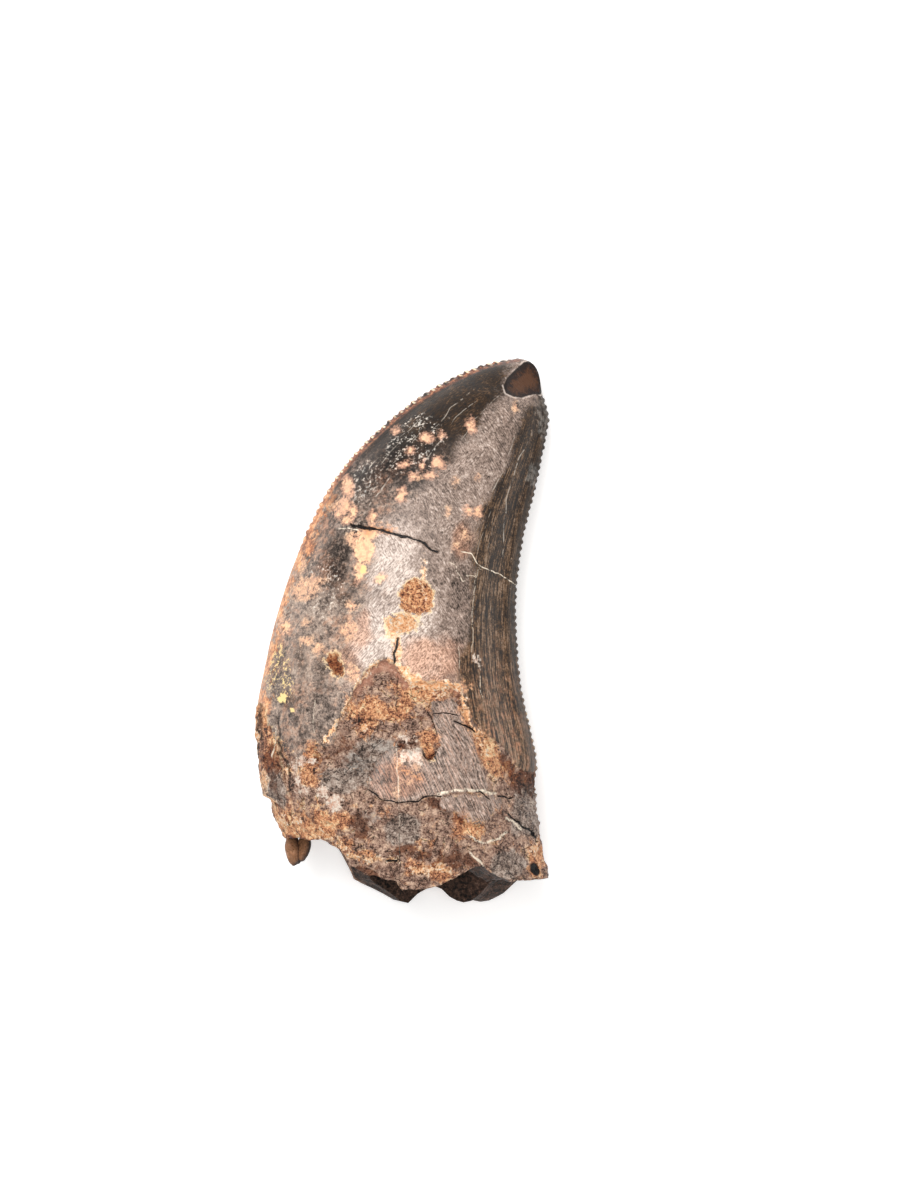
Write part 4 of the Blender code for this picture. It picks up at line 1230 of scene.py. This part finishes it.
    def rusted(self, ground, tone):
        """Rust in clouds and along the plates' edges, and in strands down the front."""
        f = self.field
        spread = (f("rust") + 0.3) * 1.2 + f("glow") * 0.5 - f("ash") * 0.3
        spread = spread + self.mix(cloud=1.2, clump=1.4, speck=1.0)
        spread = spread + abs(self.mix(plate=1, speck=0.12)).step(0.07, 0.0) * 0.45
        rusty = self.family("rust", tone + f("glow") * 0.1)
        ground = self.cover(ground, rusty, spread.step(-0.1, 0.6) * 0.9)
        strand = self.family("rust", self.mix(wide_grain=3.0) + tone * 0.9 - 0.02)
        strands = f("front_gap").step(2.4, 1.0) * f("length").step(-4.0, -7.0)
        return self.cover(ground, strand, strands * (1 - f("ash")) * 0.75)

    def arched(self, ground):
        """The smoother ground under the top of the enamel's broken edge."""
        f, c = self.field, self.c
        arch = f("length").step(-6.2, -4.4) * (f("bare") + self.mix(mottle=1.5)).step(1.1, 0.4)
        arch = arch * (f("glow") + self.mix(clump=1, speck=1)).step(0.5, 0.1)
        crumbs = self.mix(speck=1, fine=0.8, clump=1).step(-0.1, 0.3) * 0.9
        return self.cover(ground, self.cover(c["arch"], c["arch_light"], crumbs), arch * 0.9)

    def rimmed(self, colour):
        """Rust and pale crumbs along the enamel's broken edge."""
        f = self.field
        rim = (abs(f("shelf") + 0.02) + self.mix(ragged=0.5)).step(0.14, 0.04)
        rim = rim * self.mix(clump=1).step(-0.1, 0.05) * f("length").step(-9.5, -7.5)
        colour = self.cover(colour, self.c["rust_pale"], rim * 0.5)
        frosted = (f("frost") + self.mix(ragged=1.6, mottle=1.4)).step(-0.04, 0.1)
        return self.cover(colour, self.ochre(), frosted * 0.95)

    def pitted(self, colour):
        """Crumbs in the pits, a pale rim round them, and the holes."""
        c = self.c
        fill = self.family("rust", self.mix(speck=1.9, fine=1.5) + 0.51)
        # Where those patches lie over a pit, its crumbs are darkened as painted shade.
        fill = self.cover(fill, c["shade"], self.field("gloom"), "MULTIPLY")
        rim = self.mark("pit", 0.1, 1.2, 0.15) * self.mix(clump=1).step(-0.1, 0.02)
        colour = self.cover(colour, c["rust_pale"], rim * (1 - self.bare) * 0.8)
        colour = self.cover(colour, fill, self.pit)
        colour = self.cover(colour, self.ochre(), self.mark("yellow", 0.12, 2.4, 0.1) * self.pit)
        return self.cover(colour, c["crack"], self.mark("hole", 0.06, 0.3))

    def faceted(self, colour):
        """The wear facet at the tip, with painted shade round the inside of its rim."""
        c, inside = self.c, self.field("facet")
        warmth = self.mix(cloud=1, clump=1, speck=1.4, fine=1) + inside * 0.9
        tone = self.cover(c["facet"], c["facet_warm"], warmth.step(0.1, 0.9))
        # Painted shade inside the rim, where the facet's dish falls away.
        dark = (inside + self.mix(speck=0.5)).step(0.32, 0.02)
        tone = self.cover(tone, c["soot"], dark * 0.7)
        rim = (abs(inside + 0.07) + self.mix(speck=0.2)).step(0.1, 0.02)
        rim = rim * self.mix(mottle=1).step(-0.05, 0.1)
        colour = self.cover(colour, c["enamel_pale"], rim * 0.6)
        return self.cover(colour, tone, (inside + self.mix(fine=0.2)).step(-0.05, 0.06))

    def edged(self, colour):
        """A brown keel with a painted highlight on each denticle, worn away lower down."""
        f, c = self.field, self.c
        down, front = f("saw_phase"), f("front_gap")
        crown = (down * (2 * math.pi * DENTICLES)).cosine().step(0.3, 0.8)
        rise = f("edge_rise") + self.mix(speck=0.4)
        tone = self.mix(speck=1, clump=1, wide_grain=0.6) - down.step(0.34, 0.12) * 0.16 + 0.36
        # A painted highlight on each front denticle, along the keel's outermost line.
        dot = crown * rise.step(0.55, 0.35) * down.step(0.015, 0.03)
        dot = dot * self.mix(mottle=1, clump=1).step(-0.22, 0.02)
        keel = self.cover(self.family("rust", tone), c["ivory"], dot)
        share = rise.step(0.95, 0.6) * front.step(*KEEL_WIDTH) * (1 - self.bare)
        colour = self.cover(colour, keel, share * down.step(0.56, 0.5) * 0.95)
        worn = (front * 0.7 + self.mix(speck=1.2, mottle=2.6, cloud=1.5)).step(0.5, 0.1)
        worn = worn * down.step(0.36, 0.44) * (1 - self.bare)
        tone = self.mix(grain=0.8, speck=0.8, clump=1) + 0.55
        colour = self.cover(colour, self.family("rust", tone), worn * 0.85)
        # Painted highlights on the back edge's denticles.
        pale = crown * rise.step(0.4, 0.15) * f("back_gap").step(*KEEL_WIDTH)
        pale = pale * down.step(0.62, 0.7) * down.step(0.88, 0.84)
        pale = pale * self.mix(speck=1, clump=1).step(-0.1, 0.1)
        return self.cover(colour, c["rust_pale"], pale * 0.7)

    def lined(self, colour):
        """Scratches, filled seams and open cracks."""
        c = self.c
        scratch = self.line("scratch") * self.mix(mottle=1, clump=1).step(-0.1, 0.1)
        colour = self.cover(colour, c["scratch"], scratch * 0.8)
        seam = self.line("seam") * self.mix(clump=1, fine=1).step(-0.14, 0.02)
        colour = self.cover(colour, c["seam"], seam)
        return self.cover(colour, c["crack"], self.line("crack"))

    def hollowed(self, colour):
        """The broken edge and the pulp cavity, darkened as painted shade, and the bead with
        painted light and shade.
        """
        f, c = self.field, self.c
        # Very dark crust, darker than its ramp's dark grains: painted shade in the hollow.
        tone = self.mix(mottle=0.6, speck=0.9, fine=0.5) + 0.16
        colour = self.cover(colour, self.family("crust", tone), self.hollow)
        # The bead's painted light and shade, from how it faces BEAD_LIT_FROM.
        turned = f("bead") - 1 + self.mix(clump=0.6, speck=0.3)
        bead = self.cover(c["bead_dark"], c["bead"], turned.step(0.1, 0.95))
        return self.cover(colour, bead, f("bead").step(0.2, 0.8))

    def stained(self):
        """The colour all over: the enamel and what lies on it, the ground, then the rest."""
        colour = self.enamel()
        for lay in (self.banded, self.sooted, self.specked, self.patched, self.crumbed):
            colour = lay(colour)
        colour = self.cover(colour, self.ground(), self.bare)
        for lay in (
            self.rimmed, self.pitted, self.faceted, self.edged, self.lined, self.hollowed,
        ):
            colour = lay(colour)
        return colour

    def finish(self):
        """Plugs in the colour, the gloss and the fine relief."""
        f = self.field
        rough_ground = self.bare.most(self.hollow).most(self.pit)
        roughness = self.mix(speck=0.3, mottle=0.2) - f("crest") * 0.05 + 0.38
        roughness = roughness + f("band") * 0.14 + f("smoke") * 0.06 + rough_ground * 0.2
        strokes = self.mix(streak=0.022, fine=0.012, nick=0.01) + self.mix(grain=0.02) * f("band")
        crumbs = self.mix(speck=0.3, fine=0.14) + abs(self.mix(clump=1)) * 0.4 - self.gap * 0.12
        relief = strokes * (1 - rough_ground) + crumbs * rough_ground
        relief = relief - self.line("crack") * 0.08 + self.mark("frost", 0.1, 1.0) * 0.06
        bump = self.node("ShaderNodeBump", {}, {"Strength": 1.0, "Distance": MM, "Height": relief})
        self.plug(self.shader, {
            "Base Color": self.stained(), "Roughness": roughness, "Normal": bump.outputs[0],
        })
        return self.material


def a_length(name, description, value):
    return FloatProperty(name=name, description=description, default=value, min=0,
                         subtype="DISTANCE", unit="LENGTH", precision=5)


def a_colour(name, description, value):
    return FloatVectorProperty(name=name, description=description, default=value, size=3,
                               min=0, max=1, subtype="COLOR")


class FossilSizes(bpy.types.PropertyGroup):
    """How far the tooth's fine relief stands out or is sunk."""

    denticle_height: a_length("Denticle Height", "Height of a saw tooth on the edges", 0.00026)
    ledge_depth: a_length("Ledge Depth", "How far bare ground lies below the enamel", 0.0003)
    crust_height: a_length("Crust Height", "Height of the lumps of the root", 0.0002)
    grain_height: a_length("Grain Height", "Height of the grains on bare ground", 0.0002)
    crack_depth: a_length("Crack Depth", "Depth of the dark cracks", 0.00028)
    enamel_wave: a_length("Enamel Wave", "Height of the slow waves of the enamel", 0.00005)


class FossilColours(bpy.types.PropertyGroup):
    """The stains, crusts and minerals of the fossil."""

    enamel_dark: a_colour("Dark Enamel", "Between the strokes of the enamel", (0.125, 0.09, 0.073))
    enamel: a_colour("Enamel", "The middle of the crown", (0.28, 0.204, 0.166))
    enamel_light: a_colour("Light Enamel", "The strokes of the enamel", (0.47, 0.365, 0.31))
    # Reached mostly on the crest, where it is partly a painted sheen.
    enamel_pale: a_colour("Pale Enamel", "The brightest enamel", (0.8, 0.68, 0.6))
    blush: a_colour("Blush", "What the pinker clouds multiply the enamel by", (1.0, 0.72, 0.58))
    grime: a_colour("Grime", "What soot multiplies the enamel by", (0.36, 0.33, 0.31))
    shade: a_colour("Shade", "What dark clouds multiply the ground by", (0.4, 0.28, 0.23))
    smoke_dark: a_colour("Dark Smoke", "The stained front's dark clouds", (0.05, 0.036, 0.029))
    smoke: a_colour("Smoke", "The stained front of the crown", (0.17, 0.128, 0.106))
    smoke_light: a_colour("Light Smoke", "Its lighter clouds", (0.38, 0.29, 0.235))
    smoke_pale: a_colour("Pale Smoke", "Its palest grains", (0.62, 0.49, 0.4))
    umber: a_colour("Umber", "The brown stain near the tip", (0.036, 0.02, 0.0105))
    soot: a_colour("Soot", "The blackest stain", (0.012, 0.009, 0.008))
    # Also the painted shade along the back cutting edge.
    band_dark: a_colour("Dark Back Enamel", "The dark grain of the back", (0.026, 0.016, 0.01))
    band: a_colour("Back Enamel", "The grained back of the crown", (0.062, 0.037, 0.022))
    band_light: a_colour("Light Back Enamel", "Its brown grain", (0.17, 0.095, 0.05))
    band_pale: a_colour("Pale Back Enamel", "Its palest grain", (0.3, 0.21, 0.145))
    cream: a_colour("Cream", "The middle of the cream marks", (0.95, 0.7, 0.45))
    salmon: a_colour("Salmon", "Pink-orange patches", (0.74, 0.4, 0.27))
    tan: a_colour("Tan", "Pale crumbs of rust", (0.84, 0.5, 0.3))
    yellow: a_colour("Yellow", "Yellow mineral", (0.92, 0.68, 0.3))
    chalk: a_colour("Chalk", "White mineral", (0.94, 0.82, 0.7))
    bloom: a_colour("Bloom", "Bluish-grey film and specks", (0.43, 0.42, 0.39))
    crust_dark: a_colour("Dark Crust", "The root's dark grains", (0.12, 0.066, 0.045))
    crust: a_colour("Crust", "The root's brown crust", (0.35, 0.212, 0.16))
    crust_light: a_colour("Light Crust", "Its lighter grains", (0.52, 0.34, 0.25))
    crust_pale: a_colour("Pale Crust", "Its palest grains", (0.76, 0.53, 0.39))
    ash_dark: a_colour("Dark Ash", "The grey ground's dark grains", (0.1, 0.073, 0.06))
    ash: a_colour("Ash", "The grey ground's middle", (0.3, 0.222, 0.18))
    ash_light: a_colour("Light Ash", "Its lighter grains", (0.47, 0.37, 0.31))
    ash_pale: a_colour("Pale Ash", "Its palest grains", (0.64, 0.54, 0.465))
    rust_dark: a_colour("Dark Rust", "The rust's dark grains", (0.21, 0.078, 0.045))
    rust: a_colour("Rust", "Orange rust", (0.57, 0.235, 0.115))
    rust_light: a_colour("Light Rust", "Its lighter grains", (0.92, 0.455, 0.215))
    rust_pale: a_colour("Pale Rust", "Its palest grains", (0.99, 0.74, 0.44))
    arch: a_colour("Arch", "The smooth bare ground under the ledge", (0.483, 0.23, 0.155))
    arch_light: a_colour("Light Arch", "Its crumbs and the islands' stain", (0.72, 0.42, 0.3))
    frost: a_colour("Frost", "The pale crumbs along the enamel's broken edge", (0.97, 0.64, 0.38))
    facet: a_colour("Facet", "The worn tip", (0.013, 0.005, 0.003))
    facet_warm: a_colour("Warm Facet", "The middle of the worn tip", (0.085, 0.033, 0.013))
    # A painted highlight on the denticles.
    ivory: a_colour("Ivory", "The worn tops of the denticles", (0.97, 0.82, 0.6))
    seam: a_colour("Seam", "The pale filled cracks", (0.96, 0.83, 0.66))
    scratch: a_colour("Scratch", "The fine pale scratches", (0.6, 0.52, 0.44))
    crack: a_colour("Crack", "The open cracks", (0.006, 0.004, 0.004))
    # The bead's lit colour; its dark colour below is painted shade.
    bead: a_colour("Bead", "The brown bead at the root's corner", (0.42, 0.2, 0.1))
    bead_dark: a_colour("Dark Bead", "Its darker side", (0.045, 0.023, 0.015))


class FossilStage(bpy.types.PropertyGroup):
    """The camera, lights and floor."""

    camera_height: a_length("Camera Height", "The camera's height above the floor", 0.9)
    view_height: a_length("View Height", "The picture's height at the cutting edges", 0.1006)
    look_x: FloatProperty(name="Look X", description="Where the camera looks, sideways",
                          default=0.004, subtype="DISTANCE", unit="LENGTH", precision=5)
    look_y: FloatProperty(name="Look Y", description="Where the camera looks, lengthwise",
                          default=0.00256, subtype="DISTANCE", unit="LENGTH", precision=5)
    key_power: FloatProperty(name="Key Power", description="Power of the light by the tip",
                             default=11.0, min=0, unit="POWER")
    key_size: a_length("Key Size", "Side of the light by the tip", 0.6)
    fill_power: FloatProperty(name="Fill Power", description="Power of the light overhead",
                              default=9.0, min=0, unit="POWER")
    fill_size: a_length("Fill Size", "Side of the light overhead", 0.9)
    sky: FloatProperty(name="Sky", description="Strength of the light from all round",
                       default=0.32, min=0)
    floor: a_colour("Floor", "The floor's colour", (0.93, 0.93, 0.93))
    floor_glow: FloatProperty(name="Floor Glow", description="Light from the floor, as from a "
                              "light table", default=0.35, min=0)


class AddFossilTooth(bpy.types.Operator):
    """Add the fossil tooth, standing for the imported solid"""

    bl_idname = "fossil.add_tooth"
    bl_label = "Add Fossil Tooth"
    bl_options = {"REGISTER", "UNDO"}

    def execute(self, context):
        scene = context.scene
        piece = grow_skin(scene.fossil_sizes)
        add_bead(piece)
        settle(piece)
        only(piece)
        bpy.ops.object.shade_smooth()
        piece.data.materials.clear()
        piece.data.materials.append(Fossil(scene.fossil_colours).finish())
        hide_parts("tooth")
        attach(piece, "root")
        return {"FINISHED"}


MID_HEIGHT = 0.007  # the cutting edges' height, where the picture's scale holds
KEY_PLACE, FILL_PLACE = (-0.27, 0.55, 1.14), (0.05, -0.1, 1.3)
LIGHT_COLOUR = (1.0, 0.985, 0.965)
FLOOR_SIZE, FLOOR_ROUGHNESS = 1.6, 0.9


class AddFossilStage(bpy.types.Operator):
    """Add the pale floor, the soft lights and the camera that looks down on the tooth"""

    bl_idname = "fossil.add_stage"
    bl_label = "Add Stage"
    bl_options = {"REGISTER", "UNDO"}

    def execute(self, context):
        scene, stage = context.scene, context.scene.fossil_stage
        bpy.ops.object.select_all(action="DESELECT")
        bpy.ops.mesh.primitive_plane_add(size=FLOOR_SIZE)
        floor = context.object
        floor.name = "floor"
        paint = Paint("pale floor")
        paint.plug(paint.shader, {
            "Base Color": (*stage.floor, 1), "Roughness": FLOOR_ROUGHNESS,
            "Emission Color": (1, 1, 1, 1), "Emission Strength": stage.floor_glow,
        })
        floor.data.materials.append(paint.material)
        for name, place, power, size in (
            ("key light", KEY_PLACE, stage.key_power, stage.key_size),
            ("fill light", FILL_PLACE, stage.fill_power, stage.fill_size),
        ):
            bpy.ops.object.light_add(type="AREA", location=place)
            light = context.object
            light.name = name
            light.data.energy, light.data.size = power, size
            light.data.color = LIGHT_COLOUR
            light.rotation_euler = (-light.location).to_track_quat("-Z", "Y").to_euler()
        world = bpy.data.worlds.new("soft studio")
        world.use_nodes = True
        sky = world.node_tree.nodes["Background"]
        sky.inputs["Color"].default_value = (1, 1, 1, 1)
        sky.inputs["Strength"].default_value = stage.sky
        scene.world = world
        bpy.ops.object.camera_add(location=(stage.look_x, stage.look_y, stage.camera_height))
        camera = context.object
        camera.name = "camera"
        camera.data.sensor_fit = "VERTICAL"
        away = stage.camera_height - MID_HEIGHT
        camera.data.angle = 2 * math.atan(stage.view_height / 2 / away)
        camera.data.clip_start = 0.01
        scene.camera = camera
        scene.view_settings.view_transform = "Standard"
        return {"FINISHED"}


class FossilPanel(bpy.types.Panel):
    """The fossil tooth's settings and its two buttons"""

    bl_idname = "VIEW3D_PT_fossil_tooth"
    bl_label = "Fossil Tooth"
    bl_space_type = "VIEW_3D"
    bl_region_type = "UI"
    bl_category = "Fossil Tooth"

    def draw(self, context):
        for button, group in (
            (AddFossilTooth.bl_idname, context.scene.fossil_sizes),
            (None, context.scene.fossil_colours),
            (AddFossilStage.bl_idname, context.scene.fossil_stage),
        ):
            box = self.layout.box()
            for name in group.__annotations__:
                box.prop(group, name)
            if button:
                box.operator(button)


CLASSES = (
    FossilSizes, FossilColours, FossilStage, AddFossilTooth, AddFossilStage, FossilPanel,
)


def register():
    for item in CLASSES:
        bpy.utils.register_class(item)
    bpy.types.Scene.fossil_sizes = PointerProperty(type=FossilSizes)
    bpy.types.Scene.fossil_colours = PointerProperty(type=FossilColours)
    bpy.types.Scene.fossil_stage = PointerProperty(type=FossilStage)


def unregister():
    del bpy.types.Scene.fossil_sizes, bpy.types.Scene.fossil_colours
    del bpy.types.Scene.fossil_stage
    for item in reversed(CLASSES):
        bpy.utils.unregister_class(item)


def main():
    register()
    bpy.ops.fossil.add_tooth()
    bpy.ops.fossil.add_stage()


if __name__ == "__main__":
    main()
